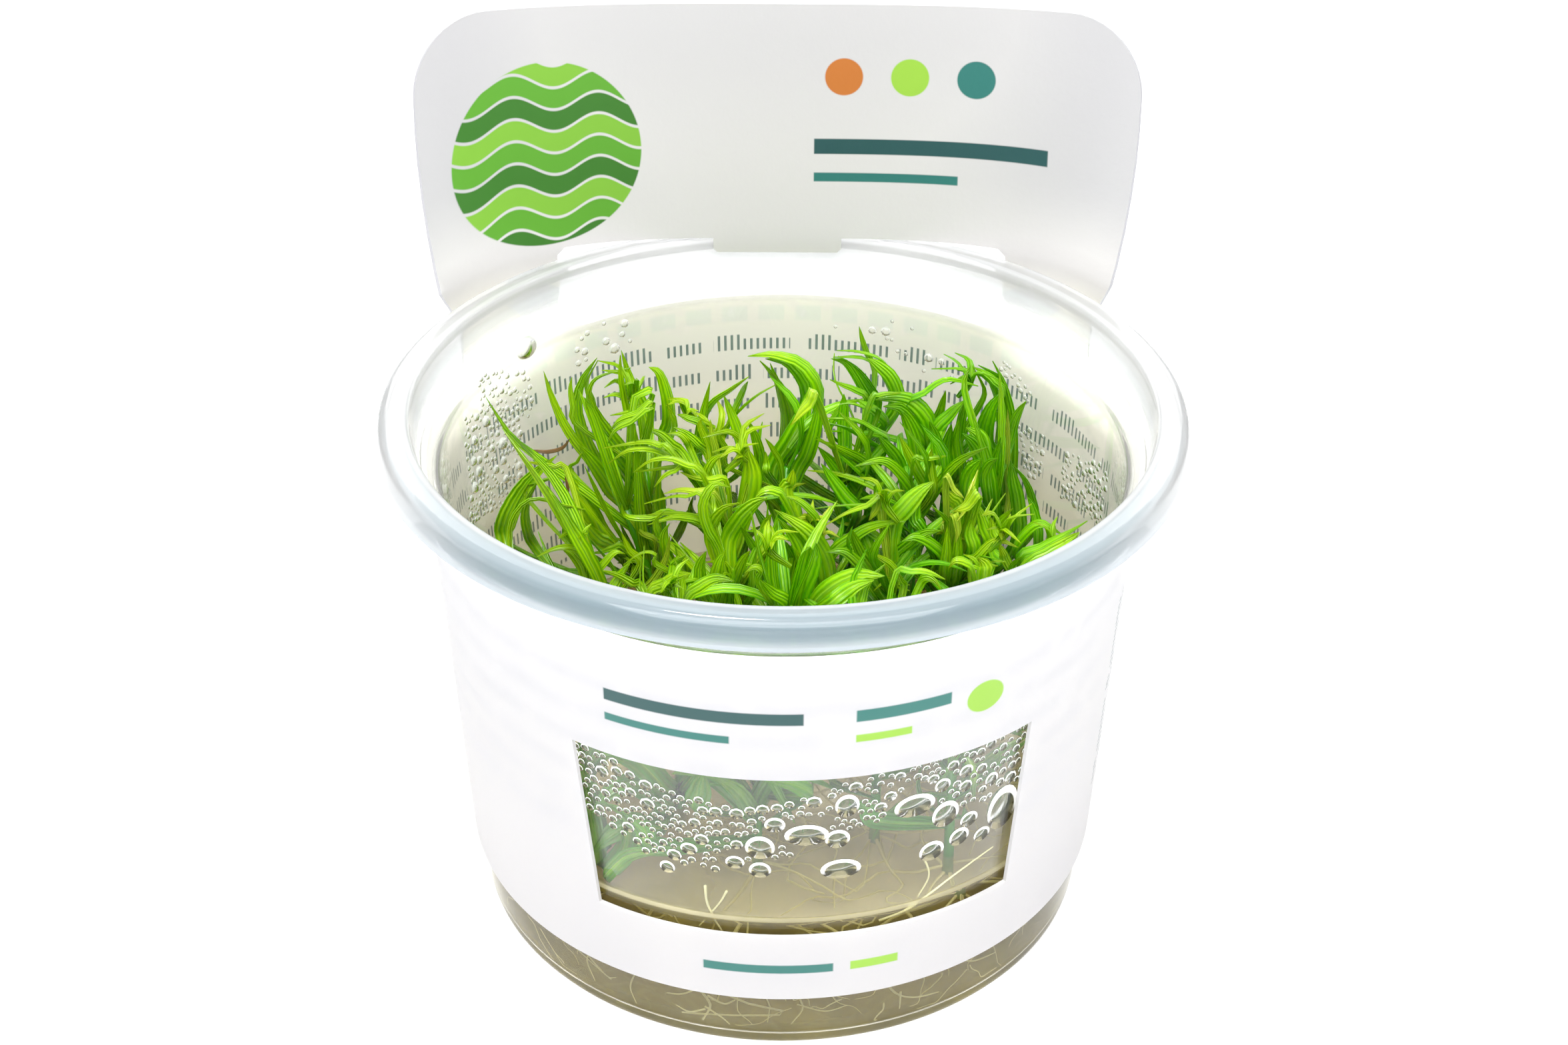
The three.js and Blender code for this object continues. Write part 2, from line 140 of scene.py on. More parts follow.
# One row a shoot: foot x, y; top x, y, z; leaf length; leaf width; spread at base and tip; sweep x, y
SHOOTS = [
    ((-2, 13), (2, 26, 64.5), 17, 2.4, (32, 10), (-0.7, 0.0)),
    ((8, 13), (9, 19, 64.5), 21, 2.4, (22, 40), (-0.8, 0.1)),
    ((10, 27), (12, 27, 66.0), 18, 2.0, (6, 51), (-0.3, 0.4)),
    ((18, 9), (17, 13, 62.0), 20, 2.4, (25, 50), (-0.6, 0.0)),
    ((21, 21), (24, 23, 62.5), 23, 2.2, (25, 80), (1.0, 0.3)),
    ((29, 9), (28, 17, 66.0), 25, 2.6, (8, 14), (-0.25, 0.1)),
    ((35, 0), (31, 7, 56.5), 20, 2.2, (16, 72), (0.1, -0.4)),
    ((33, -12), (36, -5, 51.0), 18, 2.2, (25, 60), (0.5, 0.4)),
    ((-16, 19), (-21, 21, 64.5), 22, 2.3, (7, 20), (0.2, -0.2)),
    ((-13, 7), (-26, 13, 63.5), 26, 2.6, (7, 17), (0.1, 0.0)),
    ((-8, 25), (-10, 24, 63.0), 18, 2.2, (8, 35), (-0.1, -0.6)),
    ((-5, 3), (-8, 9, 60.5), 17, 1.8, (35, 75), (-0.3, 0.0)),
    ((-19, -4), (-28, 0, 60.5), 27, 2.3, (6, 19), (-0.5, 0.2)),
    ((-35, -8), (-34, -6, 53.0), 20, 2.0, (18, 63), (0.2, -0.1)),
    ((-26, -17), (-24, -15, 53.5), 18, 2.2, (24, 61), (0.1, 0.1)),
    ((-13, -19), (-13, -16, 57.5), 19, 2.2, (20, 45), (0.1, 0.2)),
    ((1, -15), (1, -12, 59.5), 21, 3.0, (14, 26), (0.1, 0.1)),
    ((-7, -8), (-6, -4, 58.5), 18, 2.2, (25, 55), (0.1, 0.1)),
    ((12, -22), (12, -21, 57.5), 19, 2.6, (25, 60), (0.4, 0.0)),
    ((22, -1), (22, 0, 55.0), 17, 2.2, (28, 60), (0.1, 0.1)),
    ((24, -14), (26, -9, 55.5), 18, 2.2, (25, 55), (0.1, 0.1)),
    ((5, 0), (5, 3, 54.5), 16, 2.0, (30, 60), (0.0, 0.1)),
    ((13, -8), (15, -2, 57.5), 18, 2.4, (25, 60), (0.2, 0.1)),
    ((-3, -28), (-3, -26, 54.0), 17, 2.2, (22, 45), (0.1, 0.1)),
    ((21, -28), (21, -26, 51.5), 16, 2.2, (25, 50), (0.2, 0.2)),
]

# Leaves that stand out, one row each: shoot, width, tint, y of base and tip, then x and z from base to tip.
# A tint of 0 is dark green, 1 yellow-green, and above that the leaf pales. Below 0 it's brown and withered.
PLACED_LEAVES = [
    (1, 2.8, 0.25, 23.2, 25.6, (-1.4, 45.5, 1.2, 50.6, 2.8, 54.4, 3.3, 57.6)),
    (1, 2.2, 0.3, 22.9, 23.1, (1.9, 45.7, 3.4, 49.1, 4.6, 54.4, 4.6, 57.5)),
    (1, 1.6, 0.6, 21.3, 18.2, (-2.9, 45.5, -3.2, 50.1, -3.9, 53.9, -4.8, 57.1)),
    (1, 1.1, 0.8, 17.6, 12.8, (-4.1, 47.8, -5, 53.7, -7.1, 57.4, -10.8, 57.4)),
    (1, 0.9, 0.6, 20.1, 19.8, (-0.3, 48.6, -1.4, 51.4, -2.5, 53.3)),
    (1, 1.1, 0.6, 15.1, 15.7, (-2.1, 50.4, -2.3, 52, -2.4, 53.6)),
    (1, 1, 0.95, 16.8, 14.8, (-7.7, 50.5, -7.8, 53.6, -8.7, 56.1, -8, 58)),
    (2, 2, 1, 14.9, 14.3, (4.5, 62.7, 3.2, 61.8, 2, 60.3, 1, 58.5)),
    (2, 1, 0.7, 18.8, 19.8, (11.6, 59.5, 12.8, 60.6, 14.3, 60.7, 15.8, 60.4)),
    (2, 1, 0.65, 20.6, 19.7, (12.9, 56.6, 11.1, 57.8, 9.2, 58.7, 7.6, 58.7)),
    (2, 1.8, 0.55, 17.6, 17.8, (14.2, 54, 12.1, 56.3, 9.4, 57.6, 5.6, 57.6)),
    (2, 1.8, 0.3, 19.3, 17.9, (13.4, 50.9, 11.5, 53.7, 8.5, 55.9, 5.5, 56.9)),
    (2, 2.2, 0.3, 17.7, 16.6, (14.1, 45.2, 11.4, 49.1, 7.9, 52.6, 4.4, 55.5)),
    (2, 2.2, 0.15, 17.3, 16.5, (12.3, 42.7, 10.1, 46, 7, 50.7, 4.6, 54)),
    (2, 2.2, 0.1, 14, 15.5, (10.5, 44.9, 8.8, 47.3, 7, 49.6, 5.1, 51.9)),
    (3, 2.2, 0.5, 28.5, 28.6, (0.9, 43.1, 4, 49.1, 5.1, 55.5, 2.7, 60.1, -1.5, 61.6, -5, 61.2)),
    (3, 2.4, 0.35, 35.3, 29.4, (-0, 38.9, 2.5, 47.1, 3.4, 53.9, 0.8, 58.9, -2.6, 60.4)),
    (3, 1.5, 0.5, 33.6, 29.6, (16.7, 50.6, 16.4, 54.4, 13.9, 58.9, 10.5, 60.9, 7.3, 61.7)),
    (3, 1.8, 0.4, 33.2, 28.8, (15.4, 50.6, 14.2, 55.9, 11.5, 59.9, 6.8, 61.1)),
    (3, 2, 0.55, 28, 27.7, (15.8, 53.5, 15.2, 57.8, 13.1, 60.3, 11.4, 61.5)),
    (3, 1.4, 0.2, 30.5, 29.4, (12.4, 51.8, 10.9, 55.7, 8.7, 59.5, 6.5, 60.5)),
    (3, 1.2, 0.25, 32.3, 29.7, (13.4, 51.1, 12.1, 55, 10.1, 58.3, 7.5, 60.8)),
    (3, 1, 0.5, 26, 25.9, (11.6, 55.9, 10, 57.5, 8.2, 58.3, 6.3, 59.1)),
    (3, 0.9, 0.7, 35.3, 34.8, (12.9, 54.4, 11.6, 58.3, 10.9, 60.7, 10.5, 62.7)),
    (3, 1.2, 0.35, 23.6, 22.3, (6.4, 51.9, 7, 54.8, 7.9, 56.4, 9, 57.5)),
    (3, 1.6, 0.35, 21.9, 21.7, (14.1, 54, 13, 56.2, 11.3, 57.5, 9.9, 58.3)),
    (4, 1.6, 0.5, 10.7, 6.9, (17.7, 49.1, 16.2, 53.3, 13.2, 56.8, 9.3, 56.6)),
    (4, 1.6, 0.85, 10.9, 10.6, (19, 50.5, 17.8, 53.8, 16.5, 56.5, 15.3, 59.1)),
    (4, 1.5, 0.65, 9.7, 5.9, (19.6, 49.8, 20.9, 53.5, 23.1, 57.4, 26.5, 60.3)),
    (4, 1.8, 0.3, 15.3, 14.2, (16.3, 49.5, 15.3, 52.9, 13.9, 55.2, 12.7, 56.9)),
    (4, 1.2, 0.9, 8.7, 8.6, (20, 51.3, 19.7, 54.4, 19.4, 56.7, 19.5, 58.5)),
    (4, 1, 0.75, 8.9, 7.9, (17.1, 56.3, 18.4, 56.9, 20.1, 57.3, 21.4, 57.7)),
    (5, 2.3, 0.45, 20.8, 20, (20.8, 51.3, 20, 55.7, 17.6, 58.8, 14.8, 59.6, 12.3, 59.2)),
    (5, 2.2, 0.35, 21.7, 18.9, (20.9, 48.9, 19.1, 53.1, 16.2, 57.9, 13.4, 58.9)),
    (5, 1.4, 0.5, 19.3, 14.6, (14.8, 45.1, 11.8, 50.3, 8.6, 53.4, 4.1, 56.3)),
    (5, 2, 0.45, 26, 24.4, (31.8, 34.2, 31.9, 43.3, 31.5, 52.2, 30.2, 58.6, 28.4, 63)),
    (5, 2.2, 0.3, 27, 24.7, (30.5, 34.7, 30.2, 42.8, 30.6, 51.9, 29.8, 59, 26.5, 62.2)),
    (5, 1.6, 0.35, 28.5, 24.4, (29.2, 36.5, 29.9, 44.4, 30.2, 52.1, 28.3, 59.2, 23.6, 61.6)),
    (5, 1.1, 0.4, 23.9, 24, (29.8, 57.2, 28.8, 60.1, 27.2, 61.5, 25.5, 62.3)),
    (5, 0.9, 0.45, 25.7, 24, (25.3, 51.4, 26.7, 54.9, 27.5, 58.1, 25.8, 62.1)),
    (5, 2.8, 0.2, 22.4, 19.4, (29, 47.4, 27.5, 52.3, 27.9, 57.1, 29.3, 61)),
    (5, 1.6, 0.35, 21, 21, (16.7, 57.5, 18.9, 60.1, 22, 62.2, 26.3, 60.9)),
    (5, 1.3, 0.6, 23.1, 21.8, (20.9, 52.5, 21.5, 56.4, 22, 59.8)),
    (5, 2, 0.3, 20.2, 20.3, (20.6, 53.8, 22.6, 57.1, 24.6, 59.2)),
    (5, 1.4, 0.4, 23.1, 21.3, (24.1, 50.5, 24.4, 55.5, 24.9, 59.9)),
    (5, 2.2, 0.3, 17.7, 15.7, (22.7, 48.9, 22.2, 53.4, 22.5, 58.1)),
    (5, 1.8, 0.4, 16.9, 16.5, (24.1, 49.4, 23.4, 54.5, 23.5, 58.3)),
    (5, 1.8, 0.35, 17, 16.9, (21.3, 50.6, 20.6, 54.9, 19.6, 57.8)),
    (5, 2, 0.3, 19.7, 19.2, (18.8, 49, 17.9, 53.3, 16.7, 56.6, 15.9, 57.9)),
    (6, 2, 0.3, 11.3, 9.3, (31.9, 42.3, 31.5, 48.8, 30.6, 52.8, 30, 56.3)),
    (6, 1.3, 0.5, 18.8, 16.7, (30.8, 53.3, 31.2, 57.2, 31.7, 59.3, 32.4, 61.1)),
    (6, 2.6, 0.25, 17.2, 13.5, (29.2, 39.8, 28.5, 46.5, 28.5, 52, 29, 57.4)),
    (6, 1, 1.1, 18.4, 14.8, (31.1, 43.4, 30.4, 50.6, 30.1, 56.5, 29.8, 60.8)),
    (6, 1.6, 0.4, 9.6, 7.8, (27.2, 50.4, 26.6, 53.8, 27.1, 56.1, 28.1, 57.5)),
    (6, 1.4, 0.4, 13.5, 9.2, (33.8, 42, 34.1, 46.1, 32.5, 51.9, 30.2, 55.8)),
    (6, 2.2, 0.45, 14, 14.5, (27.1, 54, 26.3, 57, 24.3, 58.2)),
    (6, 2.2, 0.25, 13.7, 13.7, (27.4, 51.1, 25.8, 55.6, 23.8, 57.8)),
    (6, 2.8, 0.3, 9.2, 8.3, (24.7, 50, 24.6, 54.1, 26, 57.1)),
    (7, 1.6, 0.45, -0.7, -3, (30, 48.4, 31.3, 52, 33.2, 53.8, 35.9, 52.5)),
    (8, 1.8, 0.5, -7.1, -6.8, (30.1, 50.7, 32.6, 53.1, 35.5, 55, 38.4, 57)),
    (8, 1.3, 0.9, -5.5, -5.3, (29.1, 49.2, 28.3, 51, 27.6, 52.6)),
    (9, 1.4, 0.7, 20.7, 21.3, (-24.7, 45.7, -26.7, 49.1, -28.6, 52, -30.3, 55.3, -31.6, 59.2, -32.4, 62.7)),
    (9, 2.2, 0.5, 17.7, 14.7, (-22.9, 45.1, -24.5, 48.8, -26.1, 52.4, -27.5, 55.1)),
    (9, 1.9, 0.35, 29.6, 25.6, (-21.1, 35.5, -24.7, 40.5, -27.7, 47.5, -28.8, 53.4, -27.8, 58.4, -25.5, 62.5)),
    (9, 2.8, 0.2, 24.4, 18.5, (-18.6, 38.4, -20.9, 44.9, -23.4, 50.4, -26.9, 58.6)),
    (9, 2.2, 0.5, 26.5, 22.5, (-17.7, 38.9, -20.2, 43.9, -23.2, 49.3, -25.5, 54.1, -27, 59.7)),
    (9, 0.9, 0.6, 24.8, 26.5, (-25.9, 52.1, -26.8, 55.6, -26.4, 58.2, -24.8, 59.5, -21, 60.5)),
    (9, 1, 0.6, 28.8, 26, (-25.8, 50.7, -26.7, 54.6, -27.2, 57.8, -25.5, 61.9)),
    (9, 0.9, 0.6, 20.7, 22, (-28, 54.4, -28.6, 57.3, -28.9, 59.7, -28.7, 61.4)),
    (9, 1.8, 0.5, 28.1, 28.5, (-19, 50.3, -20.2, 54.5, -21.2, 57, -22.4, 62.1)),
    (9, 1, 0.6, 23.7, 22, (-19.9, 55.7, -21.4, 58.9, -22.7, 60.6, -24.4, 59.8)),
    (9, 1.1, 0.4, 21.7, 20.8, (-19.8, 57.3, -21.5, 58.6, -22.9, 59.3, -24.4, 58.9)),
    (10, 1.3, 0.15, 10.5, 12.1, (-17.4, 41.1, -22.4, 46.2, -27.9, 51.2, -32.2, 54.6, -36, 58, -39.1, 63.8)),
    (10, 2.6, 0.55, 11.1, 10.6, (-23.8, 42.3, -25.6, 46.1, -27.4, 49.9, -28.8, 53.3)),
    (10, 1.4, 0.3, 14.4, 15.8, (-20, 61, -18.5, 62.9, -17.5, 63.1, -18.4, 61.1, -20.5, 59.9, -23.2, 59)),
    (10, 1.1, 0.3, 12.2, 13.4, (-17.2, 62.3, -19.4, 61.2, -21.7, 60, -23.1, 58.1)),
    (10, 1.1, 0.35, 9.9, 10.6, (-17.2, 62.8, -20.1, 61.4, -22.2, 60, -23.4, 57.3)),
    (10, 2.1, 0.45, 13.4, 10.2, (-36.8, 39.4, -36.7, 44.1, -33.7, 51.4, -30, 56.1)),
    (10, 0.7, 0.1, 11.5, 11.4, (-28.5, 41.3, -29.6, 44.1, -29.3, 46.5, -27.1, 48.9)),
    (10, 2.4, 0.5, 10.3, 10.8, (-22.8, 41.5, -24.8, 42.7, -26.5, 44.7, -28.1, 47.1)),
    (10, 1.2, 0.35, 7.9, 7.7, (-21.4, 43.3, -22.8, 43.3, -24.2, 42.7, -25.8, 42.2)),
    (10, 0.9, 1.1, 9.1, 9.2, (-17, 43.1, -18.8, 44.6, -20.1, 46.4, -21.4, 48.2)),
    (10, 0.8, 0.6, 14.6, 14.2, (-28.4, 50.5, -27.6, 52.7, -27, 54.3)),
    (10, 0.55, -1, 14.6, 13.2, (-33.6, 54.2, -31.6, 54.3, -29.6, 55.2, -28.4, 57)),
    (10, 0.5, -1, 8.1, 8.5, (-28.5, 51.8, -28.6, 53.2, -28.8, 54.3)),
    (11, 2, 0.45, 28.1, 27, (-16.5, 46.8, -15.9, 51.5, -16.1, 55.4, -17.1, 59.2, -18.6, 60.3)),
    (11, 1.1, 0.35, 21.7, 21.5, (-10.9, 54, -13.1, 55.4, -14.5, 56)),
    (11, 1.9, 0.6, 32.4, 28, (-1, 40.7, 1.2, 48.5, 0.4, 53.7, -1.9, 58.3, -3.3, 60.9)),
    (11, 1.9, 0.45, 33, 28.6, (-1.4, 40.3, 0.2, 48.4, -0.5, 54.4, -1.9, 60.2)),
    (11, 1.5, 0.6, 27, 25.4, (-12.1, 45.5, -11.7, 49.6, -11.1, 53.7, -10.1, 59)),
    (11, 1.1, 0.7, 28.1, 25.8, (-11.2, 50.3, -10, 54.4, -7.4, 57, -4.8, 59.6)),
    (11, 1.7, 0.5, 20.6, 22.5, (-5.2, 48.3, -6.1, 53.2, -7.1, 56, -8.2, 58.5)),
    (11, 1.1, 0.95, 15.7, 15.7, (-9.8, 51.2, -10.2, 54.4, -11.2, 57.4, -11, 58.7)),
    (12, 1, 0.75, 6.4, 7.9, (-12.2, 56.3, -14.8, 58.1, -17.4, 59, -20.5, 58.5, -23.1, 56.1)),
    (12, 1, 0.75, 6.2, 8.3, (-14.3, 58.9, -16.1, 59.7, -18.3, 59.8, -23.8, 58.3)),
    (12, 1, 0.8, 4.3, 5.8, (-10.4, 56.8, -12.6, 58.2, -14.7, 58.9, -17.3, 58.3, -19.5, 56.2)),
    (12, 0.9, 0.7, 7.4, 5.8, (-10.5, 55.4, -13.1, 56.3, -15.3, 56.6, -19.4, 56.2)),
    (12, 1, 0.8, 5.6, 4, (-12.2, 56.8, -14.2, 57, -15.6, 56.5, -16.8, 55)),
    (12, 1, 0.7, 14.2, 14.7, (-12.1, 53.7, -13, 55.9, -14, 56.9, -15.6, 56.9)),
    (12, 1.4, 0.5, 15.1, 15.8, (-9.9, 52.6, -11.4, 54.8, -13, 56.3, -14.8, 57.3)),
    (12, 1.4, 0.5, 13.8, 14.9, (-13, 53.4, -14.9, 55.4, -16.5, 56.9, -18.3, 57.5)),
    (12, 1.1, 0.9, 7.1, 4.4, (-7.3, 54.1, -9.6, 55, -11.7, 55.9, -13.4, 57.1)),
    (12, 0.9, 1.25, 1.7, -0.4, (-8.6, 55.4, -11.2, 56.3, -13.4, 56.9, -15.4, 56.7)),
    (12, 1, 0.4, 4.6, 4.4, (-14.4, 50.7, -17.5, 50, -20.6, 50.3, -21.2, 52.1)),
    (12, 1, 0.6, 2, 0.2, (-10.8, 51, -12.5, 52, -14.5, 52.4, -17.6, 51.6)),
    (12, 1.5, 0.35, 0.4, -0.8, (-11.8, 42.9, -12.6, 46.3, -14.3, 48.7, -16.4, 49.7)),
    (12, 0.9, 0.95, 10.4, 9.2, (-4.4, 53.2, -5.3, 56.2, -7, 57.7, -9.4, 57.3)),
    (12, 2.8, 0.75, 9.3, 10.6, (-5, 48.8, -4.3, 52.2, -4.3, 54.6, -5.1, 57.6)),
    (12, 1.1, 1.15, 14.8, 15.6, (-8.9, 51.7, -9.1, 54.2, -9.6, 56.6, -9.8, 58.6)),
    (12, 1.2, 0.9, 9, 9.1, (-9.6, 52.9, -10, 54.4, -9.1, 56.2, -7.5, 57.3)),
    (13, 1.1, 1.2, -3.8, -4.6, (-18.4, 43.8, -16.8, 45.7, -15.1, 49.2, -14.4, 53.2)),
    (13, 1.6, 0.3, 10.1, 6, (-32.8, 40.5, -34.2, 45.3, -34, 49.9, -32.1, 55)),
    (13, 0.7, 0.6, 7.6, 6, (-34, 51.3, -32.2, 53.8, -30, 54.6, -28.7, 52)),
    (13, 0.9, 1.15, 5.4, 5.3, (-28.1, 56.2, -30, 57.1, -31.7, 57.6, -33.8, 58.1)),
    (13, 1.1, 0.6, -1.3, -3.4, (-25, 44, -25, 46.9, -26.7, 49.5, -29.2, 49.9, -31.8, 48.9)),
    (13, 1.3, 0.5, -1.5, -0.6, (-25.8, 44.5, -26.3, 46, -27.5, 47.7, -28.8, 48.4)),
    (13, 1.1, 0.55, -2.2, -1.1, (-24.3, 44.8, -23.1, 47.2, -21.7, 48.5, -20.5, 47.9)),
    (13, 1, 0.8, -0.8, -0.6, (-18.7, 45.8, -20, 48.4, -21, 51.1)),
    (14, 2.6, 0.4, 7.7, 7.4, (-37.3, 43.5, -37, 47.6, -34.3, 53.1, -30.9, 57.1)),
    (14, 0.9, 0.75, 0.8, 2.8, (-35.7, 47.9, -34.9, 52.1, -32.4, 54.4, -28.6, 53.2, -25.8, 52.3)),
    (15, 3.4, 0.12, -29.3, -31.3, (-22.6, 17.1, -23, 25.1, -23.4, 32.7, -24.8, 38.8)),
    (15, 2.6, 0.35, -31.6, -31.7, (-22.8, 22.1, -23, 28.6, -23.9, 34.7)),
    (16, 1.4, 0.7, -9.4, -9.6, (-17.7, 47.7, -19.1, 48.7, -21, 50.1, -22.7, 51)),
    (16, 1.6, 0.75, -13.7, -14.8, (-16.6, 49.8, -14.8, 52.1, -13.1, 53.5, -11.3, 54.1)),
    (16, 3, 0.3, -32.5, -34, (-21.3, 21.3, -19.3, 24.9, -18.7, 28.6, -19.8, 32, -22.2, 33.8)),
    (16, 1.8, 0.4, -34.4, -38.2, (-21.2, 22.6, -19.1, 26.3, -16.5, 28.3, -13.2, 28.9)),
    (16, 1.6, 0.45, -16, -16.9, (-11.9, 50.9, -10.2, 53.2, -8.1, 54.6, -5.9, 54.4)),
    (17, 1.8, 0.65, -6.4, -7.1, (2.8, 43.7, 2.9, 46.8, 2.6, 50, 1.5, 53)),
    (17, 2.8, 0.62, -14.2, -16.5, (3.9, 49, 5.7, 51.9, 8.9, 54.5, 12.6, 55)),
    (17, 2.2, 0.55, -17.5, -16.4, (5.7, 51.3, 7.5, 52.8, 9.1, 53.8, 11.3, 54.3)),
    (17, 1, 0.7, -14, -14.7, (-2.8, 51.8, -2.6, 54.1, -3.5, 54.9, -4.7, 54.1)),
    (17, 1.7, 0.35, -14.4, -16.4, (0.9, 49.1, -1.1, 51.6, -2.9, 54.3)),
    (18, 0.9, 0.85, -1.4, 0.2, (-9.8, 56.3, -12.4, 56.7, -14.3, 56.3, -17.9, 54.8)),
    (18, 1, 0.8, -0.5, -2.1, (-15.1, 49.3, -16.2, 51.5, -16.3, 53.5, -15.2, 55.3)),
    (18, 1.4, 0.6, -4.3, -2.8, (-8.2, 50.7, -9.7, 54, -10.2, 57.3, -8.7, 59.9, -6.7, 59.2)),
    (18, 0.9, 0.75, -7.8, -7.9, (-15.6, 50.4, -16.1, 52.3, -17.8, 52.6, -20.2, 50.7)),
    (18, 1.5, 0.55, -1, -2, (-14.1, 46, -15.1, 49.3, -15.2, 51.6, -14.6, 53.3)),
    (18, 1.5, 0.45, -5.5, -8.1, (-13.7, 43.3, -14.9, 46.4, -13.9, 50.1, -12.2, 52.5)),
    (18, 1.7, 0.95, -2, -4, (-9.2, 49.8, -8.9, 53.3, -7.6, 56.1, -5.6, 57.7)),
    (18, 2.4, 0.65, -2.1, -2.8, (-7.1, 50, -5.7, 53.6, -3.8, 56.4, -2, 57.8)),
    (18, 1.8, 0.45, -1.2, -2.9, (-2.8, 46.2, -4, 50, -5.5, 53.7)),
    (18, 1.4, 0.6, -6.9, -9.1, (-6.7, 44.7, -6, 48.6, -5.1, 51.7, -4.1, 53.8)),
    (18, 1.5, 0.95, -2.4, -3.9, (-2.8, 48.2, -1.9, 50, -0.5, 51.4, 0.2, 53.5)),
    (18, 1.2, 1, -5.6, -5.9, (-2.4, 52, -1.4, 51.7, -0.4, 52.4)),
    (18, 1.8, 0.45, -8.7, -8.8, (-8, 45.5, -8.6, 48.6, -8.1, 51.6, -7.2, 53.7)),
    (18, 1.8, 0.35, -7.4, -9.4, (-9.8, 44.6, -10.4, 47.6, -10.5, 51.1, -9.6, 53.9)),
    (19, 1.5, 0.7, -16.3, -16.5, (13.6, 54.7, 15.9, 55.8, 17.9, 55.7, 20, 54.5)),
    (19, 1, 0.85, -15, -15, (14.9, 51.3, 14.6, 53.3, 13.8, 55)),
    (19, 1.2, 0.8, -18, -19.6, (16.5, 53.7, 17.4, 56, 18.5, 56, 19.3, 55.2)),
    (20, 1.8, 1.05, 0.6, -1.1, (22.7, 53.5, 21.5, 56.2, 20.2, 58.3)),
    (20, 1, 1.15, -2.4, -2.9, (20.6, 60.3, 21.9, 59, 23, 57.9)),
    (20, 2, 1, -2.7, -2.6, (24.7, 58.1, 23.4, 56.7, 21.9, 55.6)),
    (20, 1.1, 1.1, -3.8, -4.5, (21.7, 55.6, 22.4, 53.9, 22.1, 52.2)),
    (20, 2, 0.65, -2.1, -1.3, (26.7, 49.9, 26, 53.1, 24.5, 56.9)),
    (20, 1.4, 0.8, -2.5, -2.1, (27.5, 50.1, 27.2, 52.5, 26.6, 54.6)),
    (20, 1.1, 0.7, 0.2, -1.4, (27.2, 49.9, 28, 52.9, 29.5, 55.5)),
    (20, 1.4, 0.6, 0.5, -3.1, (18.8, 44.2, 20.5, 48.1, 21.3, 53.2, 18.9, 56.9)),
    (20, 2.2, 0.4, -4, -3.3, (28.4, 48.3, 27.3, 50.3, 26.4, 51.9)),
    (20, 2, 0.6, -0.6, -2, (23.5, 49.1, 22.9, 52.6, 23.4, 55.6)),
    (20, 1.8, 0.6, -3.2, -2.3, (24.6, 49.7, 24.1, 52.5, 24.2, 54.7)),
    (20, 1.6, 0.4, -3, -4.5, (21.2, 48.6, 19.3, 51.4, 17.1, 52.8, 15.2, 52.3)),
    (20, 1.8, 0.4, -1, 0.4, (18.2, 51.4, 17, 53.1, 17.2, 55.4, 18.5, 56.6)),
    (21, 1.8, 0.75, -9.2, -7.3, (30.7, 51.5, 33.3, 53.2, 35.8, 54.7, 37.5, 55.7)),
    (21, 1.2, 0.95, -8.1, -9.3, (23.9, 50.1, 24.9, 53, 26.9, 55.4, 29.6, 54.6)),
    (21, 1.2, 0.8, -13.2, -13.4, (23.9, 53.1, 22.8, 55, 21.4, 55.3, 20.7, 54.2)),
    (21, 2, 0.85, -11.8, -11.7, (25.3, 51.7, 25.3, 53.5, 24.4, 54.6)),
    (22, 1.4, 0.6, 1.4, 0.5, (0.6, 54.3, -0.8, 56.4, -2.5, 56.6, -3.8, 55.3)),
    (22, 1, 0.6, 1.7, 1.7, (4.8, 50.6, 3.5, 53.2, 1.8, 54.7, -0.2, 55.3)),
    (22, 1.8, 0.92, 5.8, 6, (0.5, 52.6, 1.1, 54.6, 1.3, 56.7)),
    (22, 2.8, 0.65, -3.9, -5, (6.1, 44.9, 5.7, 49.3, 3.5, 53.6, -1.2, 57.4)),
    (22, 2.4, 0.45, -4.7, -3.9, (3.7, 42.5, 3.5, 46.3, 2, 51.8, -0.8, 55.5)),
    (22, 2.4, 0.3, -0.3, -3.6, (2, 39.5, 2.1, 44.2, 1.4, 48.1, 0.3, 51.7)),
    (22, 2.2, 0.35, -4, -2.1, (0.5, 42, 0.4, 45.6, 1, 48.2, 1.9, 51.1)),
    (22, 2.4, 0.3, -0.6, -1.7, (4.8, 39.7, 5, 43.5, 4.3, 47.3, 2.5, 51.2)),
    (22, 1.7, 0.6, -0.9, -2.6, (6.4, 48.1, 8.7, 50.7, 11.6, 53.1, 15.7, 54.2)),
    (22, 1.4, 1.05, -2.9, -3.9, (2.6, 52.4, 1.3, 54.6, 0.3, 55.9)),
    (23, 1.5, 0.6, -1.1, -1.2, (10.7, 51.4, 12.6, 50.7, 14.7, 50.3)),
    (23, 1.5, 0.95, -0.8, -0.7, (13.1, 56.1, 10.7, 55.5, 8.2, 54.3, 5.6, 52.3)),
    (23, 1.4, 1.05, -0.5, -1.1, (12.5, 55.9, 11.8, 54.7, 11.1, 53.3)),
    (23, 1.2, 0.8, 0, -0.6, (12.9, 53.9, 13.3, 55.8, 13.9, 57.5)),
    (23, 2.6, 0.7, -1.7, 0.1, (14.1, 52.4, 15.7, 55.3, 17.4, 57.2, 19.4, 58.6)),
    (23, 1.5, 0.6, -2.5, -4.2, (12, 45.7, 10.4, 49, 9.2, 52, 8.7, 54)),
    (23, 1.5, 0.5, -5.6, -6.8, (11, 47.9, 9.5, 50.2, 7.7, 52, 5.4, 52.1)),
    (23, 1, 0.9, -7, -8.2, (14.7, 48.5, 13.9, 50.6, 12.5, 51.9, 10.8, 53.2)),
    (23, 1.6, 0.5, -2.2, -4.3, (14.4, 47.8, 16.1, 50.8, 18.2, 53, 20.2, 53.9)),
